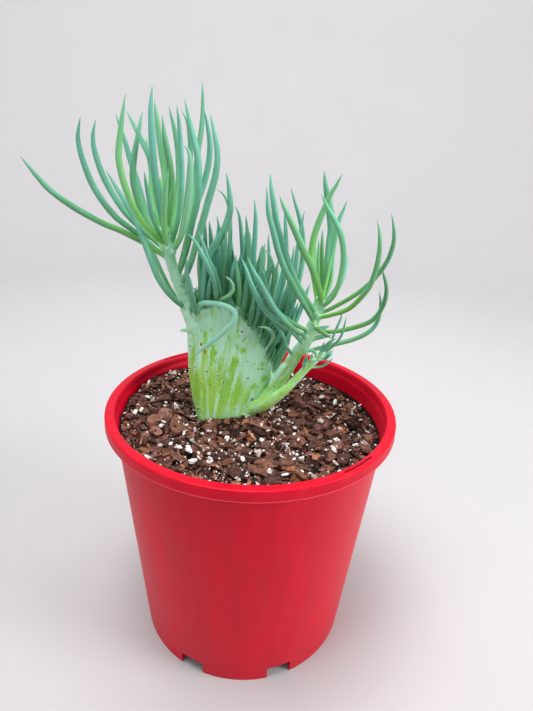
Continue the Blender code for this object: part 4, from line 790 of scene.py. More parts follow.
def stood_up(leaf, draw):
    """A leaf at the shoulder or on the low right slope, turned about its root to stand more upright."""
    width, route, lengths = leaf
    root = route[0]
    angle = SHOULDER_TURN * (1 - smoothstep(root.x, *SHOULDER_RANGE))
    on_slope = smoothstep(root.x, *SLOPE_RANGE)
    angle += (draw.uniform(-SLOPE_JITTER, SLOPE_JITTER) - SLOPE_TURN) * on_slope
    turn = Matrix.Rotation(angle, 3, "Y")
    return width, [root + turn @ (point - root) for point in route], lengths


def swayed(leaf, draw, sway):
    """The leaf bent sideways by up to this share of its length, more and more towards its tip."""
    width, route, lengths = leaf
    aslant = Vector((draw.uniform(-1, 1), draw.uniform(-1, 1), 0.4))
    across = (route[-1] - route[0]).cross(aslant).normalized()
    bend, twist = draw.uniform(-sway, sway), draw.uniform(-sway, sway)
    bent = []
    for point, along in zip(route, lengths):
        share = along / lengths[-1]
        reach = bend * share**2 + twist * share**2 * (1 - share) * 2
        bent.append(point + across * lengths[-1] * reach)
    return width, bent, lengths_along(bent)


def straight_leaf(root, heading, length, width):
    return leaf_through([root, root + heading * length * 0.5, root + heading * length], width)


def bud(draw):
    """A short young leaf on the growing edge."""
    share = draw.uniform(*BUD_PLACES)
    side = draw.uniform(-1, 1) if share < CREST_BARE_FROM else draw.uniform(0, 1)
    root = crest_root(share, side, (2 + 2 * abs(side)) * MM)
    heading = leaning(draw, share, side, BUD_LEAN_RIGHT, BUD_LEAN_BACK)
    leaf = straight_leaf(root, heading, draw.uniform(*BUD_LENGTH), draw.uniform(*BUD_WIDTH))
    return swayed(stood_up(leaf, draw), draw, BUD_SWAY)


def bristle(draw):
    """A tiny leaf on the front of the growing edge."""
    share = draw.uniform(*BRISTLE_PLACES)
    root = crest_root(share, draw.uniform(-1.25, -0.6), draw.uniform(1, 5.5) * MM)
    _, along = crest_place(share)
    rightwards = draw.uniform(-0.3, 0.5) + 0.5 * abs(along.z)
    heading = Vector((rightwards, draw.uniform(-0.6, 0.1), 1.0)).normalized()
    leaf = straight_leaf(root, heading, draw.uniform(*BRISTLE_LENGTH), draw.uniform(*BRISTLE_WIDTH))
    return swayed(leaf, draw, BUD_SWAY)


def bud_leaves():
    """Young leaves close together along the growing edge, and bristles on its front."""
    draw = random.Random(BUD_SEED)
    return [bud(draw) for _ in range(BUD_COUNT)] + [bristle(draw) for _ in range(BRISTLE_COUNT)]


def tuft_leaves():
    """Fine leaves that spread from the end of the small shoot and turn up."""
    draw = random.Random(TUFT_SEED)
    sections = stem_sections(LOWER_STEM, LOWER_STEM_RADII, TUFT_SECTIONS)
    leaves = []
    for _ in range(TUFT_LEAVES):
        centre, along, radius = sections[draw.randint(*TUFT_PLACES)]
        outward = Quaternion(along, math.tau * draw.random()) @ along.orthogonal().normalized()
        heading = (along * draw.uniform(0.8, 1.8) + outward).normalized()
        up = (heading + Vector((0, 0, draw.uniform(0.3, 1.1)))).normalized()
        length = draw.uniform(*TUFT_LENGTH)
        root = centre + outward * radius * 0.6
        middle = root + heading * length * 0.5
        leaves.append(leaf_through([root, middle, middle + up * length * 0.5], draw.uniform(*TUFT_WIDTH)))
    return leaves


def wall_radius(z):
    """Outside radius of the pot's tapered wall."""
    wall_top = POT_HEIGHT - RIM_SKIRT
    return FOOT_RADIUS + (WALL_TOP_RADIUS - FOOT_RADIUS) * z / wall_top


def polar(radius, angle, z):
    """A point at an angle counted from the front, positive towards the right."""
    return Vector((radius * math.sin(angle), -radius * math.cos(angle), z))


def foot_outline(outset, end_points=6, side_points=8):
    """The plant's foot seen from above, an oval with straight front and back."""
    radius = FOOT_THICKNESS / 2 + outset
    left, right = FOOT_LEFT + FOOT_THICKNESS / 2, FOOT_RIGHT - FOOT_THICKNESS / 2
    outline = []
    for middle, other, turn in ((right, left, 0.0), (left, right, math.pi)):
        for index in range(end_points):
            angle = turn + math.pi * (index / (end_points - 1) - 0.5)
            outline.append((middle + radius * math.cos(angle), FOOT_DEPTH_Y + radius * math.sin(angle)))
        for index in range(1, side_points + 1):
            x = middle + (other - middle) * index / (side_points + 1)
            outline.append((x, FOOT_DEPTH_Y + radius * math.cos(turn)))
    return outline


def beside_foot(x, y):
    """Distance from the plant's foot, seen from above."""
    radius = FOOT_THICKNESS / 2
    past_end = abs(x - (FOOT_LEFT + FOOT_RIGHT) / 2) - (FOOT_RIGHT - FOOT_LEFT) / 2 + radius
    return math.hypot(max(0.0, past_end), y - FOOT_DEPTH_Y) - radius


def soil_height(x, y):
    """Height of the mix's surface: a slight slope with low lumps, calm beside the plant."""
    calm = min(1.0, max(0.0, (beside_foot(x, y) - CALM_EDGE) / CALM_RADIUS))
    lumps = math.sin(x * 310 + 1.3) * math.cos(y * 270 - 0.4) + 0.6 * math.sin(x * 590 - y * 520)
    rise = SOIL_RISE * smoothstep(-x, *SOIL_RISE_LEFT) * smoothstep(y, *SOIL_RISE_BACK)
    return SOIL_MIDDLE + calm * (SOIL_BUMP * lumps - SOIL_SLOPE * x + rise)


class Gathered:
    """Many small forms gathered into one mesh, with a tone and a grain place at every point."""

    def __init__(self):
        self.points = []
        self.faces = []
        self.tones = []
        self.grains = []

    def add(self, points, faces, tones, grains):
        start = len(self.points)
        self.points += points
        self.faces += [tuple(start + corner for corner in face) for face in faces]
        self.tones += tones
        self.grains += grains

    def as_piece(self, name, material, slot, nodes=(), sharp_angle=None):
        mesh = bpy.data.meshes.new(name)
        mesh.from_pydata([tuple(point) for point in self.points], [], self.faces)
        set_tones(mesh, self.tones, self.grains)
        return add_piece(name, mesh, material, nodes, sharp_angle)


def set_tones(mesh, tones, grains):
    """Gives each point four tone values for its material, and a place in the material's grain."""
    tone = mesh.attributes.new("tone", "FLOAT_COLOR", "POINT")
    tone.data.foreach_set("color", np.array(tones, dtype=np.float32).ravel())
    grain = mesh.attributes.new("grain", "FLOAT_VECTOR", "POINT")
    grain.data.foreach_set("vector", np.array(grains, dtype=np.float32).ravel())


def add_piece(name, mesh, material, nodes=(), sharp_angle=None):
    """Puts a mesh in the scene as a piece of the part, which stands for the given nodes."""
    piece = bpy.data.objects.new(name, mesh)
    bpy.context.scene.collection.objects.link(piece)
    mesh.materials.clear()
    mesh.materials.append(material)
    mesh.shade_smooth()
    if sharp_angle:
        mesh.set_sharp_from_angle(angle=sharp_angle)
    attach(piece, "root")
    if nodes:
        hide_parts(*nodes)
    return piece


def plain_object(name, vertices, faces):
    mesh = bpy.data.meshes.new(name)
    mesh.from_pydata([tuple(vertex) for vertex in vertices], [], faces)
    obj = bpy.data.objects.new(name, mesh)
    bpy.context.scene.collection.objects.link(obj)
    return obj


def mesh_as_shown(obj):
    """The evaluated mesh of an object, which is then removed."""
    graph = bpy.context.evaluated_depsgraph_get()
    mesh = bpy.data.meshes.new_from_object(obj.evaluated_get(graph))
    bpy.data.objects.remove(obj)
    return mesh


def cut_away(body, cutters):
    """The body's mesh with every cutter taken out of it."""
    group = bpy.data.collections.new("cutters")
    for cutter in cutters:
        group.objects.link(cutter)
    boolean = body.modifiers.new("cut", "BOOLEAN")
    boolean.operation = "DIFFERENCE"
    boolean.operand_type = "COLLECTION"
    boolean.collection = group
    boolean.solver = "MANIFOLD"
    mesh = mesh_as_shown(body)
    for cutter in cutters:
        bpy.data.objects.remove(cutter)
    bpy.data.collections.remove(group)
    return mesh


def ring_faces(rings, sides):
    """Four-sided faces between neighbouring rings of points."""
    faces = []
    for here in range(0, (rings - 1) * sides, sides):
        for side in range(sides):
            after = (side + 1) % sides
            faces.append((here + side, here + after, here + sides + after, here + sides + side))
    return faces


def tube_faces(rings, sides):
    """Faces of a tube of rings of points, with a flat face at each end."""
    last = (rings - 1) * sides
    return [tuple(range(sides))[::-1], tuple(range(last, last + sides)), *ring_faces(rings, sides)]


def closed_faces(rings, sides, first, bottom, top):
    """Faces of a body of rings of points, closed by triangles to one point at each end."""
    last = first + (rings - 1) * sides
    faces = []
    for side in range(sides):
        after = (side + 1) % sides
        faces.append((bottom, first + after, first + side))
        for here in range(first, last, sides):
            faces.append((here + side, here + after, here + sides + after, here + sides + side))
        faces.append((last + side, last + after, top))
    return faces


def turned(name, profile, segments):
    """A body turned about the Z axis from a profile that starts and ends on it."""
    vertices = [Vector((0, 0, profile[0][1]))]
    for radius, z in profile[1:-1]:
        for segment in range(segments):
            angle = math.tau * segment / segments
            vertices.append(Vector((radius * math.cos(angle), radius * math.sin(angle), z)))
    vertices.append(Vector((0, 0, profile[-1][1])))
    return plain_object(name, vertices, closed_faces(len(profile) - 2, segments, 1, 0, len(vertices) - 1))


def prism(name, outline, bottom, top):
    """A closed block between two copies of an outline, each given as a list of points."""
    vertices = [bottom(point) for point in outline] + [top(point) for point in outline]
    obj = plain_object(name, vertices, tube_faces(2, len(outline)))
    work = bmesh.new()
    work.from_mesh(obj.data)
    bmesh.ops.recalc_face_normals(work, faces=work.faces)
    work.to_mesh(obj.data)
    work.free()
    return obj


def eased(corners):
    """The profile through (radius, z, rounding) corners, in millimetres, with each corner rounded."""
    points = []
    for index, (radius, z, rounding) in enumerate(corners):
        corner = Vector((radius, z))
        if rounding and 0 < index < len(corners) - 1:
            start = corner + (Vector(corners[index - 1][:2]) - corner).normalized() * rounding
            end = corner + (Vector(corners[index + 1][:2]) - corner).normalized() * rounding
            for step in range(FILLET_STEPS + 1):
                t = step / FILLET_STEPS
                points.append(start * (1 - t) ** 2 + corner * (2 * t * (1 - t)) + end * t**2)
        else:
            points.append(corner)
    return [(point.x * MM, point.y * MM) for point in points]


def pot_profile(flash_width):
    """The pot's section, from under the middle of its floor, round the rim and back inside."""
    wall_top = (POT_HEIGHT - RIM_SKIRT) / MM
    top, rim = POT_HEIGHT / MM, RIM_RADIUS / MM
    floor_top, floor_under = FLOOR_TOP / MM, (FLOOR_TOP - FLOOR) / MM
    foot, mouth, neck = FOOT_RADIUS / MM, MOUTH_RADIUS / MM, WALL_TOP_RADIUS / MM
    step, thick = STEP_HEIGHT / MM, WALL / MM
    skirt = rim - flash_width / MM  # the skirt stands back by the width of the flash
    wall = [wall_radius(z * MM) / MM for z in (step, floor_top + 4, floor_top)]
    corners = [
        (0, 0, 0), (PAD_RADIUS / MM, 0, 0.6), (PAD_RADIUS / MM + 2, floor_under, 1.2),
        (foot - 4.5, floor_under, 1.2), (foot - 2, 0, 0.5), (foot, 0, 0.6),
        (wall[0] - STEP / MM, step, 0.15), (wall[0], step + 0.3, 0.15),
        *[(wall_radius(z * MM) / MM, z, 0) for z in (40, 70, 100, 130, 155)],
        (neck, wall_top, 1.4), (neck + 1.1, wall_top + 3.4, 1.2), (RIM_ROOT / MM, top - 1.8, 0.5),
        (rim - 1.5, top - 1.8, 0.5), (rim - 1.5, wall_top + 0.2, 0.2), (skirt - 0.2, wall_top, 0.1),
        (rim, wall_top + 0.05, 0.03), (skirt, wall_top + 0.45, 0.1), (skirt - 0.1, top - 1.5, 0.3),
        (skirt - 0.5, top - 0.3, 0.4), (skirt - 1.8, top, 0.5), (mouth + 0.25, top, 0.25),
        (mouth - 0.1, top - 0.6, 0.3), (mouth - 0.6, top - 1.9, 0.8),
        (neck - 0.8, wall_top + 2.6, 1.1), (neck - thick, wall_top, 1.3),
        *[(wall_radius(z * MM) / MM - thick, z, 0) for z in (155, 130, 100, 70, 40)],
        (wall[1] - thick, floor_top + 4, 1.2), (wall[2] - thick - 3, floor_top, 1.2), (0, floor_top, 0),
    ]
    return eased(corners)


def notch_cutter(index, angle):
    """A block for one drain notch, with its two upper corners rounded."""
    half = NOTCH_WIDTH / 2
    outline = [(-half, -MM), (half, -MM)]
    for middle, first in ((half - NOTCH_CORNER, 0), (NOTCH_CORNER - half, 90)):
        for turn in range(0, 91, 15):
            around = math.radians(first + turn)
            outline.append((middle + NOTCH_CORNER * math.cos(around),
                            NOTCH_HEIGHT - NOTCH_CORNER + NOTCH_CORNER * math.sin(around)))
    sideways = Vector((math.cos(angle), math.sin(angle), 0))

    def at_radius(radius):
        return lambda point: polar(radius, angle, point[1]) + sideways * point[0]

    return prism(f"notch_{index}", outline, at_radius(NOTCH_INNER), at_radius(FOOT_RADIUS + 12 * MM))


def slot_cutter(index, angle):
    """A thin curved block for one label slot, with round ends."""
    outline = []
    steps = 16
    for edge in (1, -1):
        for step in range(steps + 1):
            share = edge * (step / steps * 2 - 1)
            easing = math.sqrt(max(0.0, 1 - abs(share) ** 14))
            around = angle + SLOT_SPAN / 2 * share
            outline.append((SLOT_RADIUS + edge * SLOT_WIDTH / 2 * max(easing, 0.05), around))
    return prism(f"slot_{index}", outline, lambda point: polar(*point, POT_HEIGHT - SLOT_DEPTH),
                 lambda point: polar(*point, POT_HEIGHT + MM))


def ragged_flash(mesh, skirt):
    """Makes the thin edge left by the mould uneven, and gives each point how much flash it is, which is where
    that edge is painted paler, partly as a painted highlight.
    """
    edge = mesh.attributes.new("flash", "FLOAT", "POINT")
    amounts = []
    for vertex in mesh.vertices:
        radius = math.hypot(vertex.co.x, vertex.co.y)
        beyond = max(0.0, radius - skirt)
        low = abs(vertex.co.z - POT_HEIGHT + RIM_SKIRT) < 0.5 * MM
        if beyond and low:
            angle = math.atan2(vertex.co.y, vertex.co.x)
            around = Vector((math.cos(angle), math.sin(angle), 0))
            wave = 0.55 + 0.35 * noise.noise(around * 9) + 0.35 * noise.noise(around * 38)
            share = min(1.0, max(0.12, wave))
            vertex.co = around * (skirt + beyond * share) + Vector((0, 0, vertex.co.z))
        amounts.append(1.0 if low and radius > skirt - 0.1 * MM else 0.0)
    edge.data.foreach_set("value", amounts)


def loose_height(x, y):
    """Height on which the loose pieces lie: sunk, and heaped up towards the right end of the foot."""
    beside = (1 - smoothstep(beside_foot(x, y), 4 * MM, 18 * MM)) * (1 if y < FOOT_DEPTH_Y else 0.4)
    at_left, at_right = FOOT_HEAP
    heap = beside * (at_left + (at_right - at_left) * smoothstep(x, -40 * MM, 4 * MM))
    return soil_height(x, y) - (LOOSE_DEPTH - heap) * MM


class Ground:
    """Heights of the mix's surface on a square grid, raised by every piece that is laid on it."""

    def __init__(self):
        self.half = int(MIX_RADIUS / GROUND_CELL) + 1
        cells = [cell * GROUND_CELL for cell in range(-self.half, self.half + 1)]
        self.height = np.array([[loose_height(x, y) for y in cells] for x in cells])

    def window(self, x, y, turn, length, width):
        """The cells under a turned rectangle, with their places along and across it."""
        reach = int(max(length, width) / 2 / GROUND_CELL) + 1
        middle_i, middle_j = (int(round(value / GROUND_CELL)) + self.half for value in (x, y))
        i = np.arange(max(0, middle_i - reach), min(2 * self.half, middle_i + reach) + 1)
        j = np.arange(max(0, middle_j - reach), min(2 * self.half, middle_j + reach) + 1)
        i, j = (grid.ravel() for grid in np.meshgrid(i, j, indexing="ij"))
        east, north = (i - self.half) * GROUND_CELL - x, (j - self.half) * GROUND_CELL - y
        along = east * math.cos(turn) + north * math.sin(turn)
        across = north * math.cos(turn) - east * math.sin(turn)
        inside = (abs(along) <= length / 2) & (abs(across) <= width / 2)
        return i[inside], j[inside], along[inside], across[inside]

    def lay(self, x, y, turn, length, width, thickness, sink):
        """Rests a flat piece on the ground and raises the ground to its top.

        Returns the height of its middle and its slopes along and across it."""
        i, j, along, across = self.window(x, y, turn, length, width)
        if len(i) < 4:
            i, j, along, across = self.window(x, y, turn, 2.6 * GROUND_CELL, 2.6 * GROUND_CELL)
        heights = self.height[i, j]
        places = np.stack((along, across, np.ones_like(along)), axis=1)
        slope_along, slope_across, level = np.linalg.lstsq(places, heights, rcond=None)[0]
        slope_along, slope_across = np.clip((slope_along, slope_across), -STEEPEST, STEEPEST)
        plane = slope_along * along + slope_across * across
        rest = np.quantile(heights - plane, RESTING_SHARE) - sink * thickness
        self.height[i, j] = np.maximum(heights, rest + plane + thickness * 0.9)
        return rest + thickness / 2, slope_along, slope_across


def grain_offset(draw, spread):
    return Vector((draw.random(), draw.random(), draw.random())) * spread


def flat_chip(gathered, draw, frame_at, size, tone, corners, rings):
    """One broken piece of bark: a ragged flat outline with chipped edges and a slight bend."""
    length, width, thickness = size
    power = draw.uniform(1.3, 4.5)
    outline = []
    for corner in range(corners):
        angle = math.tau * (corner + draw.uniform(-0.42, 0.42)) / corners
        squareness = (abs(math.cos(angle)) ** power + abs(math.sin(angle)) ** power) ** (-1 / power)
        reach = squareness * draw.uniform(0.66, 1.0)
        outline.append((reach * math.cos(angle) * length / 2, reach * math.sin(angle) * width / 2))
    bend, skew = draw.uniform(-0.5, 1.4) * thickness, draw.uniform(-0.35, 0.35)
    offset = grain_offset(draw, GRAIN_SPREAD)
    places = []
    for inset, level in rings:
        shift = Vector((draw.uniform(-0.04, 0.04) * length, draw.uniform(-0.04, 0.04) * width))
        for x, y in outline:
            rough = draw.uniform(0.94, 1.05)
            places.append(Vector((x * inset * rough + shift.x + skew * y, y * inset * rough + shift.y,
                                  level * thickness * draw.uniform(0.8, 1.1))))
    places.append(Vector((0, 0, rings[0][1] * thickness)))
    places.append(Vector((0, 0, rings[-1][1] * thickness * draw.uniform(0.7, 1.3))))
    for place in places:
        place.z -= bend * (2 * place.x / length) ** 2
    faces = closed_faces(len(rings), corners, 0, len(places) - 2, len(places) - 1)
    points = [frame_at @ place for place in places]
    gathered.add(points, faces, [tone] * len(points), [place / MM + offset for place in places])


def lying_frame(x, y, height, turn, slope_along, slope_across):
    """Where a piece lies: its own X runs along it and its Z points up from its flat side."""
    along = Vector((math.cos(turn), math.sin(turn), slope_along)).normalized()
    across = Vector((-math.sin(turn), math.cos(turn), slope_across))
    up = along.cross(across).normalized()
    across = up.cross(along)
    turned_axes = Matrix((along, across, up)).transposed().to_4x4()
    return Matrix.Translation((x, y, height)) @ turned_axes


def has_room(x, y, reach):
    """Whether a piece of this reach lies clear of the pot's wall and of the plant's foot."""
    return math.hypot(x, y) + reach * 0.85 < MIX_RADIUS and beside_foot(x, y) > reach * 0.75


def random_place(draw):
    """A place on the mix, each part of it as likely as the next."""
    distance = MIX_RADIUS * math.sqrt(draw.random())
    angle = math.tau * draw.random()
    return distance * math.cos(angle), distance * math.sin(angle)


class ChipLayer:
    """Lays bark chips one on the other, each into the mesh it is given."""

    def __init__(self, ground):
        self.ground = ground
        self.draw = random.Random(SCATTER_SEED)

    def lay(self, gathered, x, y, turn, size, tone, corners, rings):
        """Lays one chip, a little sunk and a little tilted."""
        draw = self.draw
        length, width, thickness = size
        sink = draw.uniform(*CHIP_SINK)
        lie = self.ground.lay(x, y, turn, length * 0.8, width * 0.8, thickness, sink)
        height, slope_along, slope_across = lie
        tilt = min(0.5, 1.4 * MM / length) * (ASKEW if draw.random() < ASKEW_SHARE else 1)
        slope_along += draw.uniform(-tilt, tilt)
        slope_across += draw.uniform(-tilt, tilt) * 1.6
        frame_at = lying_frame(x, y, height, turn, slope_along, slope_across)
        flat_chip(gathered, draw, frame_at, size, tone, corners, rings)

    def scatter(self, gathered, count, shortest, longest):
        """Chips by rule, of lengths given in millimetres."""
        draw = self.draw
        large = longest > LARGE_FROM
        thinnest, thickest = CHIP_THICKNESS
        laid = 0
        while laid < count:
            length = (shortest + (longest - shortest) * draw.random() ** 1.4) * MM
            broad = draw.random() < BROAD_SHARE
            width = length * (draw.uniform(0.5, 0.9) if broad else draw.uniform(0.14, 0.4))
            x, y = random_place(draw)
            if not has_room(x, y, length / 2):
                continue
            laid += 1
            bright = min(1.0, max(0.0, draw.gauss(0.4, 0.3)))
            orange = draw.random() ** 10
            size = (length, width, max(thinnest, min(thickest, width * draw.uniform(0.14, 0.34))))
            turn, tone = math.tau * draw.random(), (bright, orange, draw.random(), 1)
            corners = draw.randint(6, 9) if large else draw.randint(4, 6)
            self.lay(gathered, x, y, turn, size, tone, corners, THICK_RINGS if large else THIN_RINGS)

    def lay_noticed(self, gathered):
        """The pieces of bark that stand out."""
        for x, y, length, width, turn, bright, orange in LARGE_CHIPS:
            size = (length * MM, width * MM, min(2.4, 0.6 + width * 0.14) * MM)
            tone = (bright, orange * 0.55, self.draw.random(), 1)
            corners = self.draw.randint(7, 10)
            self.lay(gathered, x * MM, y * MM, math.radians(turn), size, tone, corners, THICK_RINGS)

    def line_wall(self, gathered):
        """Small chips that lie along the pot's wall."""
        draw = self.draw
        for _ in range(EDGE_CHIPS):
            length = draw.uniform(1.8, 5.5) * MM
            distance = MIX_RADIUS - length * 0.4 - draw.uniform(0.2, 3.5) * MM
            angle = math.tau * draw.random()
            x, y = distance * math.cos(angle), distance * math.sin(angle)
            size = (length, length * draw.uniform(0.3, 0.8), draw.uniform(0.5, 1.1) * MM)
            bright = min(1.0, max(0.0, draw.gauss(0.36, 0.24)))
            turn, tone = angle + draw.uniform(-0.9, 0.9) + math.pi / 2, (bright, 0, draw.random(), 1)
            self.lay(gathered, x, y, turn, size, tone, draw.randint(5, 7), THIN_RINGS)

    def fill_notches(self, gathered):
        """Crumbs of bark that lie on the floor behind the drain notches."""
        draw = self.draw
        for angle in NOTCH_TURNS:
            for _ in range(NOTCH_CRUMBS):
                around = angle + draw.uniform(-0.1, 0.1)
                distance = wall_radius(NOTCH_HEIGHT) - draw.uniform(2.2, 4.5) * MM
                place = polar(distance, around, FLOOR_TOP + draw.uniform(0.3, 1.4) * MM)
                frame_at = lying_frame(*place, math.tau * draw.random(), 0, 0)
                length = draw.uniform(1.6, 4.5) * MM
                tone = (draw.random() * 0.5, 0, 0.5, 1)
                flat_chip(gathered, draw, frame_at, (length, length * 0.6, MM), tone, 7, THIN_RINGS)


def scatter_chips(ground):
    """Small, middling and big chips, the noticed ones, a few small ones on top, and those at the wall."""
    chips, bits = Gathered(), Gathered()
    layer = ChipLayer(ground)
    small, middling, big = CHIP_SIZES
    layer.scatter(bits, *small)
    layer.scatter(chips, *middling)
    layer.scatter(chips, *big)
    layer.lay_noticed(chips)
    layer.scatter(bits, *TOP_CHIPS)
    layer.line_wall(bits)
    layer.fill_notches(bits)
    return chips, bits


@functools.cache
def ball(level):
    """Points and faces of a unit ball of even triangles."""
    work = bmesh.new()
    bmesh.ops.create_icosphere(work, subdivisions=level, radius=1.0)
    points = [vertex.co.copy() for vertex in work.verts]
    faces = [tuple(vertex.index for vertex in face.verts) for face in work.faces]
    work.free()
    return points, faces


def lump(gathered, draw, place, size, tone, level, roughness):
    """An uneven grain, a little flattened and turned at random."""
    points, faces = ball(level)
    offset = grain_offset(draw, GRAIN_SPREAD)
    stretch = Vector((draw.uniform(0.9, 1.6), draw.uniform(0.6, 0.9), draw.uniform(0.45, 0.8))) * size / 2
    spin = Euler((draw.uniform(-0.7, 0.7), draw.uniform(-0.7, 0.7), math.tau * draw.random())).to_matrix()
    places = []
    for point in points:
        coarse, fine = noise.noise(point * 1.3 + offset), noise.noise(point * 3.1 + offset)
        swell = 1 + roughness * coarse + roughness * 0.5 * fine
        places.append(Vector((a * b for a, b in zip(point * swell, stretch))))
    gathered.add([place + spin @ local for local in places], faces, [tone] * len(points),
                 [local / MM + offset for local in places])


def scatter_crumbs(ground):
    """Fine dark crumbs in the gaps between the chips."""
    draw = random.Random(SCATTER_SEED + 1)
    crumbs = Gathered()
    while len(crumbs.points) < CRUMB_COUNT * len(ball(1)[0]):
        x, y = random_place(draw)
        size = draw.uniform(*CRUMB_SIZE) * MM
        if math.hypot(x, y) < MIX_RADIUS - size and beside_foot(x, y) > 0.2 * MM:
            height = ground.lay(x, y, 0, size, size, size * 0.7, 0.4)[0]
            tone = (draw.random() * 0.6, draw.random() ** 14, 0, 1)
            lump(crumbs, draw, Vector((x, y, height)), size, tone, 1, 0.5)
    return crumbs


def scatter_grains(ground):
    """White perlite: the grains that stand out, then small ones by rule."""
    draw = random.Random(SCATTER_SEED + 2)
    grains = Gathered()
    places = [(x * MM, y * MM, width * MM) for x, y, width in LARGE_GRAINS]
    while len(places) < len(LARGE_GRAINS) + GRAIN_COUNT:
        x, y = random_place(draw)
        size = (GRAIN_SIZE[0] + (GRAIN_SIZE[1] - GRAIN_SIZE[0]) * draw.random() ** 2.6) * MM
        crowd = 0.5 + 1.1 * noise.noise(Vector((x, y, 0)) * 34)
        if has_room(x, y, size) and draw.random() < crowd:
            places.append((x, y, size))
    for index, (x, y, size) in enumerate(places):
        large = index < len(LARGE_GRAINS)
        height = ground.lay(x, y, 0, size, size, size * 0.8, 0.25)[0]
        tone = (1 - 0.4 * draw.random() ** 4, 0, 0, 1)
        shown, level = (size * 0.85, 2) if large else (size, 1)
        lump(grains, draw, Vector((x, y, height)), shown, tone, level, 0.8)
    return grains


def scatter_fibres(ground):
    """Thin dry fibres and splinters that lie across the chips."""
    draw = random.Random(SCATTER_SEED + 3)
    fibres = Gathered()
    sides, steps = 5, 8
    laid = 0
    while laid < FIBRE_COUNT:
        x, y = random_place(draw)
        length = draw.uniform(5, 17) * MM
        if not has_room(x, y, length / 2):
            continue
        laid += 1
        turn = math.tau * draw.random()
        height, slope, _ = ground.lay(x, y, turn, length, 1.2 * MM, 0.5 * MM, 0)
        frame_at = lying_frame(x, y, height, turn, slope, 0)
        curve, radius = draw.uniform(-0.25, 0.25), draw.uniform(0.14, 0.42) * MM
        tone = (draw.uniform(0.2, 0.9), 0.6 * draw.random() ** 6, 0, 1)
        offset = grain_offset(draw, GRAIN_SPREAD)
        places = []
        for step in range(steps + 1):
            t = step / steps * 2 - 1
            thin = radius * (1 - 0.75 * t**4)
            aside = curve * length * (1 - t * t) / 2
            for side in range(sides):
                around = math.tau * side / sides
                above = thin * 0.7 * math.sin(around) + 0.25 * MM
                places.append(Vector((t * length / 2, aside + thin * math.cos(around), above)))
        fibres.add([frame_at @ place for place in places], tube_faces(steps + 1, sides), [tone] * len(places),
                   [place / MM + offset for place in places])
    return fibres


def leaf_tone(look, share, along, length):
    """Bloom, freshness, paleness and deadness of a leaf's skin at a place along it."""
    bloom, fresh, fresher_root, pale_all_along, dead_tip = look
    greener = fresh + fresher_root * (1 - smoothstep(share, 0.1, 0.65))
    greener = min(1.0, greener + 0.06 * smoothstep(along, length - 3.2 * MM, length - 0.6 * MM))
    pale = max(pale_all_along, 1 - smoothstep(along, 2 * MM, 8 * MM))
    dead = smoothstep(along, length - dead_tip * 1.3, length - dead_tip * 0.5) if dead_tip else 0.0
    return bloom + 0.38 * (share - 0.48), greener, pale, dead


def leaf_form(gathered, leaf, facing, look, offset):
    """One finger leaf: an oval section with a shallow channel on its upper side, to a blunt tip.

    look is its bloom, its freshness, more of that at its root, its paleness and its dead tip's length."""
    width, route, lengths = leaf
    length = lengths[-1]
    rings = max(LEAF_RINGS_LEAST, int(length / LEAF_RING_STEP))
    points, tones, grains = [], [], []
    up = facing
    for ring in range(rings + 1):
        share = (1 - (1 - ring / rings) ** TIP_CROWDING) * TIP_STOP
        centre, direction = at_share(route, lengths, share)
        up = (up - direction * up.dot(direction)).normalized()
        side_way = direction.cross(up)
        along = share * length
        tone = leaf_tone(look, share, along, length)
        radius = max(leaf_radius(width, share / TIP_STOP, BLUNTNESS), TIP_RADIUS)
        radius *= 1 + UNEVENNESS * noise.noise(Vector((along * 90, offset.x, 0)))
        radius *= 1 - DEAD_SHRINKAGE * tone[3]
        groove = CHANNEL_DEPTH * smoothstep(share, 0.04, 0.25) * (1 - smoothstep(share, 0.7, 0.95))
        for side in range(LEAF_SIDES):
            angle = math.tau * side / LEAF_SIDES
            turn = (angle + math.pi) % math.tau - math.pi
            oval = 1 / math.hypot(math.cos(angle) / LEAF_FLATNESS, math.sin(angle))
            reach = radius * oval * (1 - groove * math.exp(-((turn / CHANNEL_WIDTH) ** 2)))
            points.append(centre + (up * math.cos(angle) + side_way * math.sin(angle)) * reach)
            tones.append(tone)
            around = Vector((math.cos(angle) * width / 2, math.sin(angle) * width / 2, along / MM))
            grains.append(around + offset)
    points.append(centre + direction * TIP_RADIUS * 0.5)
    tones.append((*tone[:2], 0.0, tone[3]))
    grains.append(Vector((0, 0, length / MM)) + offset)
    last = rings * LEAF_SIDES
    faces = [tuple(range(LEAF_SIDES))[::-1], *ring_faces(rings + 1, LEAF_SIDES)]
    faces += [(last + side, last + (side + 1) % LEAF_SIDES, len(points) - 1) for side in range(LEAF_SIDES)]
    gathered.add(points, faces, tones, grains)


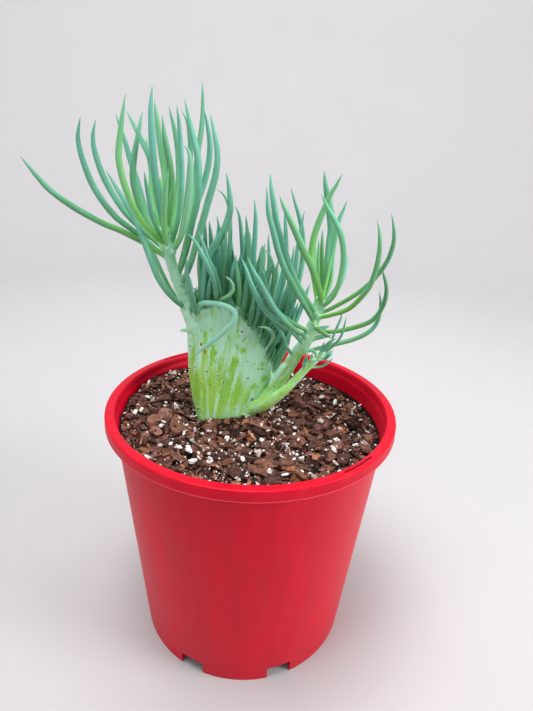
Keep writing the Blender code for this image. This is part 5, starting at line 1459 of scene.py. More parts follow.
def leaves_piece(leaves, name, plant, seed, middle, fresher_root, young=False):
    """Gathers leaves that face the middle of their shoot, each with a bloom and colour of its own."""
    draw = random.Random(seed)
    gathered = Gathered()
    fresh_leaves, bloom_leaves = FRESH_LEAVES.get(name, {}), BLOOM_LEAVES.get(name, {})
    pale_leaves, leaf_widths = PALE_LEAVES.get(name, {}), LEAF_WIDTHS.get(name, {})
    dry_tipped = DRY_TIPPED.get(name, ())
    for index, (width, route, lengths) in enumerate(leaves):
        half_way = at_share(route, lengths, 0.5)[0]
        facing = Vector((middle.x - half_way.x, middle.y - half_way.y, 0.02))
        fresh = draw.uniform(*YOUNG_FRESHNESS) if young else fresh_leaves.get(index, 0.0)
        fresh = min(1.0, max(0.0, fresh + draw.uniform(*FRESH_VARIETY)))
        bloom = plant.bloom_amount * (1 - 0.5 * fresh) + bloom_leaves.get(index, 0.0)
        bloom += draw.uniform(*BLOOM_VARIETY)
        dead_tip = draw.uniform(*DEAD_TIP) * MM if index in dry_tipped else 0.0
        offset = grain_offset(draw, LEAF_GRAIN_SPREAD)
        look = (bloom, fresh, fresher_root, pale_leaves.get(index, 0.0), dead_tip)
        leaf_form(gathered, (width * leaf_widths.get(index, 1.0), route, lengths), facing, look, offset)
    return gathered


def fan_middle(across, level):
    """A point midway through the flattened stem, by its share across the foot and up to the edge."""
    foot = Vector((FOOT_LEFT + (FOOT_RIGHT - FOOT_LEFT) * across, FOOT_DEPTH_Y, FOOT_TOP))
    bulge = np.interp(level, FAN_LEVELS, FAN_BULGE) * (1 - across) ** 3
    hollow = np.interp(level, FAN_LEVELS, FAN_HOLLOW) * across**3
    return foot.lerp(crest_place(across)[0], level) - Vector((bulge + hollow, 0, 0)) * MM


def fan_surface():
    """The flattened stem as oval rings from the foot, spreading to the growing edge."""
    foot = foot_outline(0.0, *FAN_OUTLINE)
    points = [Vector((x, y, FOOT_BOTTOM)) for x, y in foot]
    for step in range(FAN_RINGS + 1):
        level = step / FAN_RINGS
        thickness = np.interp(level, FAN_LEVELS, FAN_THICKNESS) * MM
        for x, y in foot:
            across = (x - FOOT_LEFT) / (FOOT_RIGHT - FOOT_LEFT)
            side = (y - FOOT_DEPTH_Y) / (FOOT_THICKNESS / 2)
            points.append(fan_middle(across, level) + Vector((0, side * thickness / 2, 0)))
    return points, tube_faces(FAN_RINGS + 2, len(foot))


def swept(sections, sides, start_index):
    """A closed tube through (centre, direction, radius) sections."""
    across = sections[0][1].orthogonal().normalized()
    points = []
    for centre, direction, radius in sections:
        across = (across - direction * across.dot(direction)).normalized()
        up = direction.cross(across)
        for side in range(sides):
            angle = math.tau * side / sides
            points.append(centre + (across * math.cos(angle) + up * math.sin(angle)) * radius)
    faces = tube_faces(len(sections), sides)
    return points, [tuple(start_index + corner for corner in face) for face in faces]


def crest_and_shoot_leaves():
    """All the leaves of the crest, and the listed ones of the three shoots."""
    crest = [leaf for group in all_crest_leaves() for leaf in group]
    return crest, [leaf for _, _, _, leaves in SHOOTS for leaf in listed_leaves(leaves)]


def leaf_collars():
    """Tapered sections round the root of every leaf, which the skin of the stems runs up into."""
    crest, shoots = crest_and_shoot_leaves()
    collars = []
    for leaves, (reach, swelling) in ((crest, CREST_COLLAR), (shoots, SHOOT_COLLAR)):
        for width, route, lengths in leaves:
            sections = []
            smaller = 1 - 0.7 * smoothstep(route[0].x, -4 * MM, 10 * MM) if leaves is crest else 1
            for step in range(COLLAR_STEPS + 1):
                share = step / COLLAR_STEPS * reach * smaller / lengths[-1]
                centre, direction = at_share(route, lengths, share)
                swell = 0.96 + swelling * smaller * (1 - step / COLLAR_STEPS)
                sections.append((centre, direction, leaf_radius(width, share, BLUNTNESS) * swell))
            collars.append(sections)
    return collars


def flank_sections():
    """A swelling that grows beside the upper right stem's own tube."""
    sections = stem_sections(UPPER_STEM, UPPER_STEM_RADII, STEM_RINGS)[int(STEM_RINGS * FLANK_FROM):]
    at_start, gain = FLANK_SIZE
    flank = []
    for number, (centre, direction, radius) in enumerate(sections):
        grown = smoothstep(number, -2, FLANK_RINGS)
        flank.append((centre + FLANK_SHIFT * grown, direction, radius * (at_start + gain * grown)))
    return flank


def grown_together():
    """The fan, its stub, the three stems and the swollen roots of the leaves as one smooth body."""
    points, faces = fan_surface()
    tubes = [(stem_sections(STUB, STUB_RADII, STEM_RINGS), STEM_SIDES)]
    tubes += [(stem_sections(stem, radii, STEM_RINGS), STEM_SIDES) for _, stem, radii, _ in SHOOTS]
    tubes.append((flank_sections(), STEM_SIDES))
    tubes += [(collar, COLLAR_SIDES) for collar in leaf_collars()]
    for sections, sides in tubes:
        more_points, more_faces = swept(sections, sides, len(points))
        points += more_points
        faces += more_faces
    body = plain_object("grown_together", points, faces)
    remesh = body.modifiers.new("one_skin", "REMESH")
    remesh.mode = "VOXEL"
    remesh.voxel_size = SKIN_CELL
    ease = body.modifiers.new("ease", "SMOOTH")
    ease.factor = 0.5
    ease.iterations = SKIN_EASING
    return mesh_as_shown(body)


def mesh_arrays(mesh):
    """The points of a mesh and its normals at them."""
    places = np.empty(len(mesh.vertices) * 3, dtype=np.float32)
    normals = np.empty(len(mesh.vertices) * 3, dtype=np.float32)
    mesh.vertices.foreach_get("co", places)
    mesh.vertex_normals.foreach_get("vector", normals)
    return places.reshape(-1, 3).astype(float), normals.reshape(-1, 3).astype(float)


def tree_of(points):
    tree = kdtree.KDTree(len(points))
    for index, point in enumerate(points):
        tree.insert(point, index)
    tree.balance()
    return tree


def leaf_root_points():
    """Where the leaves come out of the stems and the crest."""
    crest, shoots = crest_and_shoot_leaves()
    return [at_share(route, lengths, LEAF_ROOT_OUT / lengths[-1])[0] for _, route, lengths in crest + shoots]


def stem_scars():
    """Small scars in a spiral on the lower part of each stem, where its old leaves stood."""
    scars = []
    for _, stem, radii, _ in SHOOTS:
        sections = stem_sections(stem, radii, 60)
        for index in range(8, 40, 3):
            centre, direction, radius = sections[index]
            around = direction.orthogonal().normalized()
            around.rotate(Quaternion(direction, index / 3 * GOLDEN_TURN))
            scars.append(centre + around * radius)
    return scars


def from_spot(skin, spot):
    """How far each point is from an oval spot, in spot sizes, on the front or the back of the fan."""
    x, z, half_width, half_height, tilt, on_front = spot
    east, up = skin.drawn_x - x, skin.drawn_z - z
    along = up * math.cos(tilt) - east * math.sin(tilt)
    across = east * math.cos(tilt) + up * math.sin(tilt)
    distance = np.hypot(across / half_width, along / half_height)
    return np.where(skin.front == on_front, distance, 9.0)


def spots_of_fan():
    """The rubbed patches and leaf scars, noticed on the front and strewn by rule on the back."""
    patches = [(*patch, True) for patch in RUBBED_PATCHES]
    scars = [(*scar, 0.0, True) for scar in LEAF_SCARS]
    draw = random.Random(BACK_SEED)
    for _ in range(BACK_PATCHES):
        tall = draw.random() ** 2
        patches.append((draw.uniform(-44, 4), draw.uniform(178, 240), draw.uniform(0.8, 2.6) + tall,
                        draw.uniform(1.4, 4) + 8 * tall, draw.uniform(-0.3, 0.3), False))
    for _ in range(BACK_SCARS):
        scars.append((draw.uniform(-44, 6), draw.uniform(176, 236), draw.uniform(0.8, 1.4),
                      draw.uniform(0.8, 1.6), 0.0, False))
    return patches, scars


def fan_points():
    """A search tree of points midway through the fan, and how far across and up it each one is."""
    across_steps, level_steps = FAN_GRID
    shares = [(column / across_steps, row / level_steps)
              for column in range(across_steps + 1) for row in range(level_steps + 1)]
    return tree_of([fan_middle(*share) for share in shares]), shares


def stem_points():
    """A search tree of points along the stems, with each one's stem, distance along it and radius."""
    places, facts = [], []
    for number, (_, stem, radii, _) in enumerate(SHOOTS):
        sections = stem_sections(stem, radii, 120)
        lengths = lengths_along([centre for centre, _, _ in sections])
        places += [centre for centre, _, _ in sections]
        facts += [(number, along, radius) for (_, _, radius), along in zip(sections, lengths)]
    return tree_of(places), facts


class Skin:
    """Where each point of the stems' skin lies, with its relief in millimetres, streaks and grain."""

    def __init__(self, places):
        count = len(places)
        self.ribs, self.streaks, self.stem_part, self.near_root, self.near_scar = np.zeros((5, count))
        self.grains = np.zeros((count, 3))
        self.front, self.stem_number = np.zeros(count, bool), np.zeros(count, int)
        fan_tree, fan_shares = fan_points()
        stem_tree, stem_facts = stem_points()
        root_tree, scar_tree = tree_of(leaf_root_points()), tree_of(stem_scars())
        for index, place in enumerate(places):
            middle, in_fan, _ = fan_tree.find(place)
            centre, on_stem, distance = stem_tree.find(place)
            number, along, radius = stem_facts[on_stem]
            self.front[index] = place[1] < middle.y
            self.stem_number[index] = number
            self.stem_part[index] = 1 - smoothstep(distance - radius, 0.4 * MM, 1.5 * MM)
            self.near_root[index] = root_tree.find(place)[2]
            self.near_scar[index] = scar_tree.find(place)[2]
            if self.stem_part[index] > 0.5:
                self.mark_stem(index, number, (Vector(place) - centre) / MM, along / MM)
            else:
                self.mark_fan(index, *fan_shares[in_fan])
        reach = (places[:, 1] - EYE.y) / (DRAWING_PLANE - EYE.y)
        self.drawn_x = (EYE.x + (places[:, 0] - EYE.x) / reach) / MM
        self.drawn_z = (EYE.z + (places[:, 2] - EYE.z) / reach) / MM

    def mark_stem(self, index, number, outward, along):
        """Faint ribs and knobs round a stem."""
        self.grains[index] = (outward.x, outward.y + 40 * number, along)
        at = Vector((outward.x * 0.5, outward.y * 0.5, along * 0.06 + 30 * number))
        knobs = noise.noise(Vector((outward.x, outward.y, along)) * 0.34 + Vector((0, 0, 50 * number)))
        self.ribs[index] = 0.14 * noise.noise(at) + 0.05 * noise.noise(at * 4) + KNOBBLE[number] * knobs
        self.streaks[index] = noise.noise(at * 1.7)

    def mark_fan(self, index, wide, tall):
        """Ribs that run up the fan, and pleats towards its growing edge."""
        side = 5.0 if self.front[index] else -5.0
        self.grains[index] = (wide * 62, side, tall * 76)
        pleat = noise.noise(Vector((wide * 26, 0.3 * tall, side * 5))) * smoothstep(tall, 0.8, 0.97)
        self.ribs[index] = (0.42 * noise.noise(Vector((wide * 15, tall * 1.1, side))) + 1.5 * pleat
                            + 0.2 * noise.noise(Vector((wide * 46, tall * 2.6, side * 2))))
        self.streaks[index] = (0.7 * noise.noise(Vector((wide * 17, tall * 2.2, side * 3))) + 1.1 * pleat
                               + 0.5 * noise.noise(Vector((wide * 48, tall * 5, side * 4))))


def fan_marks(skin):
    """How rubbed and how scarred each point is, and how far its scars stand out or in, in millimetres."""
    def wander(x, z):
        return (0.55 * noise.noise(Vector((x * 0.9, z * 0.32, 7)))
                + 0.45 * noise.noise(Vector((x, z * 0.6, 2))))

    ragged = np.array([wander(x, z) for x, z in zip(skin.drawn_x, skin.drawn_z)]) + 0.25 * skin.streaks
    patches, scars = spots_of_fan()
    rubbed, scarred, pits = np.zeros((3, len(ragged)))
    for patch in patches:
        rubbed = np.maximum(rubbed, 1 - stepped(from_spot(skin, patch) + ragged, 0.72, 1.02))
    for scar in scars:
        distance = from_spot(skin, scar)
        scarred = np.maximum(scarred, 1 - stepped(distance + 0.3 * ragged, 0.3, 0.9))
        pits += 0.28 * np.exp(-(((distance - 1.15) / 0.4) ** 2)) - 0.3 * np.exp(-((distance / 0.6) ** 2))
    fan_part = 1 - skin.stem_part
    old_scars = (1 - stepped(skin.near_scar, 0.4 * MM, 0.9 * MM)) * 0.7
    return rubbed * fan_part, np.maximum(scarred * fan_part, old_scars), pits * fan_part


def skin_tones(skin, rubbed, scarred):
    """Bloom, yellowness and dead tissue of the skin, as a tone at each point."""
    x, z, on_left, fan_part = skin.drawn_x, skin.drawn_z, skin.stem_number == 0, 1 - skin.stem_part
    bloom_line = 233 - 27 * np.clip((x + 45) / 38, 0, 1)
    high = stepped(z, bloom_line - 18, bloom_line + 14)
    right = stepped(x, -16, -4) * (1 - stepped(z, 206, 224))
    cover = 0.3 + 0.46 * high + 0.3 * right + (1.1 - 0.3 * high) * skin.streaks
    fan_cover = stepped(cover, 0.0, 0.9) * (1 - 0.85 * rubbed)
    stem_cover = np.where(on_left, 1.0, 0.28 + 0.4 * stepped(z, 200, 236)) + 0.7 * skin.streaks
    cover = fan_cover * fan_part + stem_cover * skin.stem_part
    crowded = 1 - 0.6 * stepped(x, -4, 14) * fan_part
    cover = np.maximum(cover, 0.78 * crowded * np.exp(-((skin.near_root / (3.4 * MM)) ** 2)))
    stem_yellow = np.where(on_left, 0.8, 0.95 - 0.3 * stepped(z, 206, 240))
    yellow = (1 - 0.3 * high - 0.55 * rubbed) * fan_part + stem_yellow * skin.stem_part
    tones = np.stack((cover, yellow, np.zeros(len(cover)), scarred), axis=1)
    return np.clip(tones, 0, 1)


def dress_stems(mesh):
    """Raises the ribs and scars of the skin, and marks its bloom and its colours."""
    places, normals = mesh_arrays(mesh)
    skin = Skin(places)
    rubbed, scarred, pits = fan_marks(skin)
    at_foot = 1 - stepped(places[:, 2], FOOT_TOP, FOOT_TOP + 4 * MM)
    lift = (skin.ribs + pits + SKIN_LIFT) * (1 - at_foot) - 0.1 * rubbed
    moved = places + normals * (lift * MM)[:, None]
    mesh.vertices.foreach_set("co", moved.astype(np.float32).ravel())
    mesh.update()
    set_tones(mesh, skin_tones(skin, rubbed, scarred), skin.grains)


class NodeTree:
    """Adds nodes to a tree, with each input given by name as a value or as another node's output."""

    def __init__(self, tree):
        self.tree = tree

    def add(self, kind, inputs=(), **settings):
        node = self.tree.nodes.new(kind)
        for name, value in settings.items():
            setattr(node, name, value)
        self.fill(node, inputs)
        return node

    def fill(self, node, inputs):
        """Gives each named or numbered input of a node its value."""
        for name, value in dict(inputs).items():
            self.give(node.inputs[name], value)

    def give(self, socket, value):
        if isinstance(value, bpy.types.NodeSocket):
            self.tree.links.new(value, socket)
        elif socket.type == "RGBA":
            socket.default_value = (*value[:3], 1.0)
        else:
            socket.default_value = value

    def attribute(self, name, output="Color"):
        return self.add("ShaderNodeAttribute", attribute_name=name).outputs[output]

    def place(self):
        """The place on the object, in millimetres."""
        return self.stretched(self.add("ShaderNodeTexCoord").outputs["Object"], (1000.0, 1000.0, 1000.0))

    def grain_and_tone(self):
        """The grain place, and the parts of the tone, that the small forms carry at their points."""
        tone = self.add("ShaderNodeSeparateColor", {"Color": self.attribute("tone")}).outputs
        return self.attribute("grain", "Vector"), tone

    def maths(self, operation, first, second=0.0, clamp=False):
        inputs = {0: first, 1: second}
        return self.add("ShaderNodeMath", inputs, operation=operation, use_clamp=clamp).outputs[0]

    def stretched(self, vector, factors):
        return self.add("ShaderNodeVectorMath", {0: vector, 1: factors}, operation="MULTIPLY").outputs[0]

    def noise(self, vector, factors, detail=2.0, roughness=0.55):
        inputs = {"Vector": self.stretched(vector, factors), "Scale": 1.0, "Detail": detail,
                  "Roughness": roughness}
        return self.add("ShaderNodeTexNoise", inputs).outputs[0]

    def ranged(self, value, low, high, to_low=0.0, to_high=1.0):
        inputs = {"Value": value, "From Min": low, "From Max": high, "To Min": to_low, "To Max": to_high}
        return self.add("ShaderNodeMapRange", inputs).outputs[0]

    def mixed(self, factor, first, second, blend="MIX"):
        inputs = {0: factor, 6: first, 7: second}
        return self.add("ShaderNodeMix", inputs, data_type="RGBA", blend_type=blend).outputs[2]

    def group(self, tree, inputs):
        return self.add("ShaderNodeGroup", inputs, node_tree=tree).outputs

    def bump(self, height, distance, strength=1.0, normal=None):
        inputs = {"Height": height, "Distance": distance, "Strength": strength}
        if normal:
            inputs["Normal"] = normal
        return self.add("ShaderNodeBump", inputs).outputs[0]


COLOUR, NUMBER, PLACE = "NodeSocketColor", "NodeSocketFloat", "NodeSocketVector"


def shader_group(name, inputs, outputs, build):
    """A node group with named sockets, made once. build gets its nodes and inputs and gives its outputs."""
    group = bpy.data.node_groups.get(name)
    if group:
        return group
    group = bpy.data.node_groups.new(name, "ShaderNodeTree")
    for label, kind in inputs.items():
        group.interface.new_socket(name=label, in_out="INPUT", socket_type=kind)
    for label, kind in outputs.items():
        group.interface.new_socket(name=label, in_out="OUTPUT", socket_type=kind)
    nodes = NodeTree(group)
    nodes.add("NodeGroupOutput", build(nodes, nodes.add("NodeGroupInput").outputs))
    return group


def chalk_bloom():
    """Chalky bloom over a skin, rubbed thin in patches and streaks."""
    def build(nodes, given):
        patches = nodes.noise(given["Grain"], (0.3, 0.3, 0.07))
        streaks = nodes.noise(given["Grain"], (1.7, 1.7, 0.14), detail=3.0, roughness=0.65)
        powder = nodes.noise(given["Grain"], (6.0, 6.0, 6.0), detail=1.0)
        amount = nodes.maths("ADD", given["Cover"], nodes.ranged(patches, 0.3, 0.7, -0.16, 0.16))
        streaking = nodes.maths("MULTIPLY", nodes.ranged(streaks, 0.3, 0.7, -1.0, 1.0), given["Streaks"])
        amount = nodes.maths("ADD", amount, streaking)
        amount = nodes.maths("ADD", amount, nodes.ranged(powder, 0.3, 0.7, -0.05, 0.05), clamp=True)
        height = nodes.maths("ADD", streaks, nodes.maths("MULTIPLY", powder, 0.5))
        return {"Colour": nodes.mixed(amount, given["Skin"], given["Bloom"]),
                "Roughness": nodes.ranged(amount, 0.0, 1.0, 0.36, 0.62), "Height": height}

    inputs = {"Skin": COLOUR, "Bloom": COLOUR, "Cover": NUMBER, "Streaks": NUMBER, "Grain": PLACE}
    outputs = {"Colour": COLOUR, "Roughness": NUMBER, "Height": NUMBER}
    return shader_group("chalk_bloom", inputs, outputs, build)


def dry_tissue():
    """Mottled brown where tissue has died, with an uneven edge."""
    def build(nodes, given):
        mottle = nodes.noise(given["Grain"], (1.6, 1.6, 0.9))
        edge = nodes.maths("ADD", given["Amount"], nodes.ranged(mottle, 0.3, 0.7, -0.14, 0.14))
        mask = nodes.ranged(edge, 0.3, 0.68)
        dark = nodes.mixed(1.0, given["Dry"], (0.8, 0.74, 0.7), "MULTIPLY")
        shade = nodes.mixed(nodes.ranged(mottle, 0.35, 0.65), dark, given["Dry"])
        return {"Colour": nodes.mixed(mask, given["Colour"], shade), "Mask": mask}

    inputs = {"Colour": COLOUR, "Dry": COLOUR, "Amount": NUMBER, "Grain": PLACE}
    return shader_group("dry_tissue", inputs, {"Colour": COLOUR, "Mask": NUMBER}, build)


def bark_fibre():
    """Fibrous bark from dark to pale, and orange where it is freshly broken."""
    def build(nodes, given):
        fibre = nodes.noise(given["Grain"], (0.3, 2.4, 2.4), detail=3.0)
        blotch = nodes.noise(given["Grain"], (0.4, 0.4, 0.4))
        level = nodes.maths("ADD", given["Tone"], nodes.ranged(fibre, 0.25, 0.75, -0.2, 0.2))
        level = nodes.maths("ADD", level, nodes.ranged(blotch, 0.3, 0.7, -0.15, 0.15), clamp=True)
        colour = nodes.mixed(level, given["Dark"], given["Light"])
        fresh = nodes.ranged(blotch, 0.3, 0.6, 0.5, 1.0)
        fresh = nodes.maths("MULTIPLY", given["Orange"], fresh, clamp=True)
        return {"Colour": nodes.mixed(fresh, colour, given["Fresh"]), "Height": fibre}

    inputs = {"Dark": COLOUR, "Light": COLOUR, "Fresh": COLOUR, "Tone": NUMBER, "Orange": NUMBER,
              "Grain": PLACE}
    return shader_group("bark_fibre", inputs, {"Colour": COLOUR, "Height": NUMBER}, build)


def fine_dust():
    """Pale specks and a thin uneven film of dust."""
    def build(nodes, given):
        specks = nodes.add("ShaderNodeTexVoronoi", {"Vector": given["Place"], "Scale": 0.42})
        speck = nodes.ranged(specks.outputs["Distance"], 0.05, 0.11, 1.0, 0.0)
        chance = nodes.ranged(nodes.noise(given["Place"], (0.11, 0.11, 0.11)), 0.5, 0.62)
        speck = nodes.maths("MULTIPLY", speck, chance)
        film = nodes.noise(given["Place"], (0.09, 0.09, 0.03), detail=5.0, roughness=0.7)
        film = nodes.ranged(film, 0.5, 0.8, 0.0, 0.3)
        speck = nodes.maths("MULTIPLY", speck, given["Specks"])
        film = nodes.maths("MULTIPLY", film, given["Film"])
        mask = nodes.maths("MAXIMUM", speck, film, clamp=True)
        return {"Colour": nodes.mixed(mask, given["Colour"], given["Dust"]), "Mask": mask}

    inputs = {"Colour": COLOUR, "Dust": COLOUR, "Specks": NUMBER, "Film": NUMBER, "Place": PLACE}
    return shader_group("fine_dust", inputs, {"Colour": COLOUR, "Mask": NUMBER}, build)


def new_material(name):
    """A material, its nodes and its Principled shader."""
    material = bpy.data.materials.new(name)
    material.use_nodes = True
    return material, NodeTree(material.node_tree), material.node_tree.nodes["Principled BSDF"]


def red_plastic(pot):
    """Moulded plastic with a soft sheen, faint flow lines, a pale mould edge that is partly a painted
    highlight, dust and scuffs.
    """
    material, nodes, shader = new_material("red_plastic")
    place = nodes.place()
    flow = nodes.noise(place, (0.05, 0.05, 0.012), detail=3.0)
    peel = nodes.noise(place, (0.7, 0.7, 0.7))
    darker = tuple(value * 0.86 for value in pot.red)
    colour = nodes.mixed(nodes.ranged(flow, 0.35, 0.65), darker, pot.red)
    # The mould's thin edge painted paler: partly its own pale colour, partly a painted highlight along the
    # skirt's lower edge.
    colour = nodes.mixed(nodes.maths("MULTIPLY", nodes.attribute("flash", "Fac"), 0.75), colour, pot.flash)
    dust = nodes.group(fine_dust(), {"Colour": colour, "Dust": pot.dust, "Specks": pot.dust_amount,
                                     "Film": pot.dust_amount, "Place": place})
    colour, worn = dust["Colour"], dust["Mask"]
    for spot, size in SCUFFS:
        ends = {0: place, 1: tuple(value / MM for value in spot)}
        distance = nodes.add("ShaderNodeVectorMath", ends, operation="DISTANCE")
        uneven = nodes.maths("ADD", distance.outputs["Value"], nodes.ranged(peel, 0.3, 0.7, -0.7, 0.7))
        scuff = nodes.ranged(uneven, size * 0.6, size, 0.85, 0.0)
        colour = nodes.mixed(scuff, colour, pot.dust)
        worn = nodes.maths("MAXIMUM", worn, scuff)
    rough = nodes.maths("ADD", nodes.ranged(flow, 0.3, 0.7, 0.36, 0.46), nodes.maths("MULTIPLY", worn, 0.25))
    height = nodes.maths("ADD", nodes.maths("MULTIPLY", flow, 3.0), nodes.maths("MULTIPLY", peel, 0.25))
    nodes.fill(shader, {
        "Base Color": colour, "Roughness": rough, "Normal": nodes.bump(height, 0.1 * MM, 0.5),
        "Specular IOR Level": 0.18, "Subsurface Weight": 0.08, "Subsurface Radius": (1.0, 0.1, 0.1),
        "Subsurface Scale": 1.5 * MM,
    })
    return material


def bark_material(name, mix, brightness):
    """Bark chips, crumbs and fibres, whose tone comes from each piece."""
    material, nodes, shader = new_material(name)
    grain, tone = nodes.grain_and_tone()
    place = nodes.place()
    bark = nodes.group(bark_fibre(), {
        "Dark": mix.bark_dark, "Light": mix.bark_light, "Fresh": mix.bark_orange,
        "Tone": nodes.maths("MULTIPLY", tone["Red"], brightness), "Orange": tone["Green"], "Grain": grain,
    })
    grime = nodes.ranged(nodes.noise(place, (0.4, 0.4, 0.4), detail=3.0), 0.46, 0.7, 0.0, 0.4)
    dusted = nodes.group(fine_dust(), {
        "Colour": nodes.mixed(grime, bark["Colour"], mix.soil), "Dust": mix.perlite, "Specks": 0.3,
        "Film": 0.08, "Place": nodes.stretched(place, (2.6, 2.6, 2.6)),
    })
    rough = nodes.bump(nodes.noise(place, (2.2, 2.2, 2.2), detail=3.0), 0.2 * MM, 0.4)
    nodes.fill(shader, {
        "Base Color": dusted["Colour"], "Roughness": nodes.ranged(bark["Height"], 0.3, 0.7, 0.62, 0.88),
        "Normal": nodes.bump(bark["Height"], 0.3 * MM, 0.5, rough), "Specular IOR Level": 0.16,
    })
    return material


def perlite_material(mix):
    """White volcanic foam, pitted and here and there soiled, with painted shade in its pits."""
    material, nodes, shader = new_material("perlite")
    grain, tone = nodes.grain_and_tone()
    pits = nodes.add("ShaderNodeTexVoronoi", {"Vector": grain, "Scale": 2.0}).outputs["Distance"]
    soil = nodes.ranged(nodes.noise(grain, (0.5, 0.5, 0.5), detail=3.0), 0.52, 0.72, 0.0, 0.75)
    # The pits are painted darker: painted shade in hollows that are only a bump.
    pit_shade = tuple(value * 0.72 for value in mix.perlite)
    shaded = nodes.mixed(nodes.ranged(pits, 0.05, 0.3), pit_shade, mix.perlite)
    shaded = nodes.mixed(nodes.ranged(tone["Red"], 0.6, 1.0), (0.52, 0.47, 0.42), shaded)
    nodes.fill(shader, {
        "Base Color": nodes.mixed(soil, shaded, mix.bark_light),
        "Roughness": nodes.ranged(pits, 0.0, 0.5, 0.9, 0.7), "Normal": nodes.bump(pits, 0.3 * MM, 0.5),
        "Subsurface Weight": 0.1, "Subsurface Scale": 0.5 * MM,
    })
    return material


# Light passes a little way into a succulent's tissue, and its bloom has a faint sheen
SOFT_TISSUE = {
    "Subsurface Weight": 0.14, "Subsurface Radius": (0.6, 1.0, 0.3), "Subsurface Scale": 1.2 * MM,
    "Sheen Weight": 0.1, "Sheen Roughness": 0.5,
}


def plant_skin(name, plant, green, yellow, bloom_colour, streaks, pale_roots, relief):
    """Green skin under bloom, from its tone: bloom, freshness, pale root and dead tissue."""
    material, nodes, shader = new_material(name)
    grain, tone = nodes.grain_and_tone()
    bloom = nodes.group(chalk_bloom(), {
        "Skin": nodes.mixed(tone["Green"], green, yellow), "Bloom": bloom_colour, "Cover": tone["Red"],
        "Streaks": streaks, "Grain": grain,
    })
    pale = nodes.maths("MULTIPLY", tone["Blue"], pale_roots)
    dry = nodes.group(dry_tissue(), {
        "Colour": nodes.mixed(pale, bloom["Colour"], plant.stem_bloom), "Dry": plant.dry,
        "Amount": nodes.attribute("tone", "Alpha"), "Grain": grain,
    })
    dull = nodes.maths("MULTIPLY", dry["Mask"], 0.8)
    nodes.fill(shader, {
        "Base Color": dry["Colour"], "Roughness": nodes.maths("MAXIMUM", bloom["Roughness"], dull),
        "Normal": nodes.bump(bloom["Height"], relief, 0.5), **SOFT_TISSUE,
    })
    return material


def leaf_skin(plant):
    made = bpy.data.materials.get("leaf_skin")
    return made or plant_skin("leaf_skin", plant, plant.leaf, plant.fresh, plant.bloom, 0.2, 0.75, 0.14 * MM)


def stem_skin(plant):
    return plant_skin("stem_skin", plant, plant.rubbed, plant.skin, plant.stem_bloom, 0.42, 0.0, 0.3 * MM)


class OBJECT_OT_nursery_pot(bpy.types.Operator):
    """Makes the moulded pot with its rim, drain notches and label slots"""
    bl_idname = "chalk_sticks.nursery_pot"
    bl_label = "Nursery Pot"

    def execute(self, context):
        pot = context.scene.chalk_sticks.pot
        body = turned("pot_blank", pot_profile(pot.flash_width), POT_SEGMENTS)
        cutters = [notch_cutter(index, angle) for index, angle in enumerate(NOTCH_TURNS)]
        cutters += [slot_cutter(index, angle) for index, angle in enumerate(SLOT_TURNS)]
        mesh = cut_away(body, cutters)
        ragged_flash(mesh, RIM_RADIUS - pot.flash_width)
        add_piece("nursery_pot", mesh, red_plastic(pot), ["pot"], POT_CREASE)
        return {"FINISHED"}


class OBJECT_OT_potting_mix(bpy.types.Operator):
    """Makes the body of the potting mix and the loose bark, crumbs, fibres and perlite on it"""
    bl_idname = "chalk_sticks.potting_mix"
    bl_label = "Potting Mix"

    def execute(self, context):
        mix = context.scene.chalk_sticks.mix
        self.make_body(mix)
        ground = Ground()
        bark = bark_material("bark", mix, 1.0)
        chips, bits = scatter_chips(ground)
        chips.as_piece("bark_chips", bark, "mix", sharp_angle=CHIP_CREASE)
        bits.as_piece("bark_bits", bark, "mix", sharp_angle=CHIP_CREASE)
        scatter_crumbs(ground).as_piece("mix_crumbs", bark_material("crumbs", mix, 0.8), "mix")
        grains = scatter_grains(ground)
        grains.as_piece("perlite_grains", perlite_material(mix), "mix", sharp_angle=GRAIN_CREASE)
        scatter_fibres(ground).as_piece("dry_fibres", bark, "mix")
        return {"FINISHED"}

    def make_body(self, mix):
        """A plug that fills the pot, with a rough top and a hole for the plant's foot."""
        bottom = MIX_BOTTOM
        corner = bottom + 4 * MM
        wall_top = SOIL_MIDDLE - 3 * MM
        edge = wall_radius(SOIL_MIDDLE) - WALL - GAP
        profile = [
            (0, bottom), (wall_radius(FLOOR_TOP) - WALL - 3.6 * MM, bottom),
            (wall_radius(corner) - WALL - GAP * 1.4, corner), (wall_radius(wall_top) - WALL - GAP, wall_top),
        ]
        profile += [(edge * (1 - ring / MIX_RINGS), SOIL_MIDDLE) for ring in range(MIX_RINGS)]
        profile.append((0, SOIL_MIDDLE))
        body = turned("mix_blank", profile, MIX_SEGMENTS)
        for vertex in body.data.vertices:
            x, y, z = vertex.co
            if z > wall_top + MM:
                rough = noise.noise(Vector((x, y, 0)) * 260) + 0.7 * noise.noise(Vector((x, y, 3)) * 620)
                vertex.co.z = loose_height(x, y) + (0.7 * rough - 0.6) * MM
        hole = prism("foot_hole", foot_outline(GAP), lambda point: Vector((*point, FOOT_BOTTOM - GAP)),
                     lambda point: Vector((*point, SOIL_MIDDLE + 30 * MM)))
        mesh = cut_away(body, [hole])
        points = [vertex.co.copy() for vertex in mesh.vertices]
        set_tones(mesh, [(0.12, 0, 0, 1)] * len(points), [point / MM for point in points])
        matter = bark_material("fine_matter", mix, 0.4)
        add_piece("mix_body", mesh, matter, ["potting_mix"], MIX_CREASE)


class OBJECT_OT_crested_stem(bpy.types.Operator):
    """Makes the flattened stem with the stems of its three shoots, as one skin"""
    bl_idname = "chalk_sticks.crested_stem"
    bl_label = "Crested Stem"

    def execute(self, context):
        plant = context.scene.chalk_sticks.plant
        mesh = grown_together()
        dress_stems(mesh)
        add_piece("crested_stem", mesh, stem_skin(plant), ["crested_fan"])
        return {"FINISHED"}


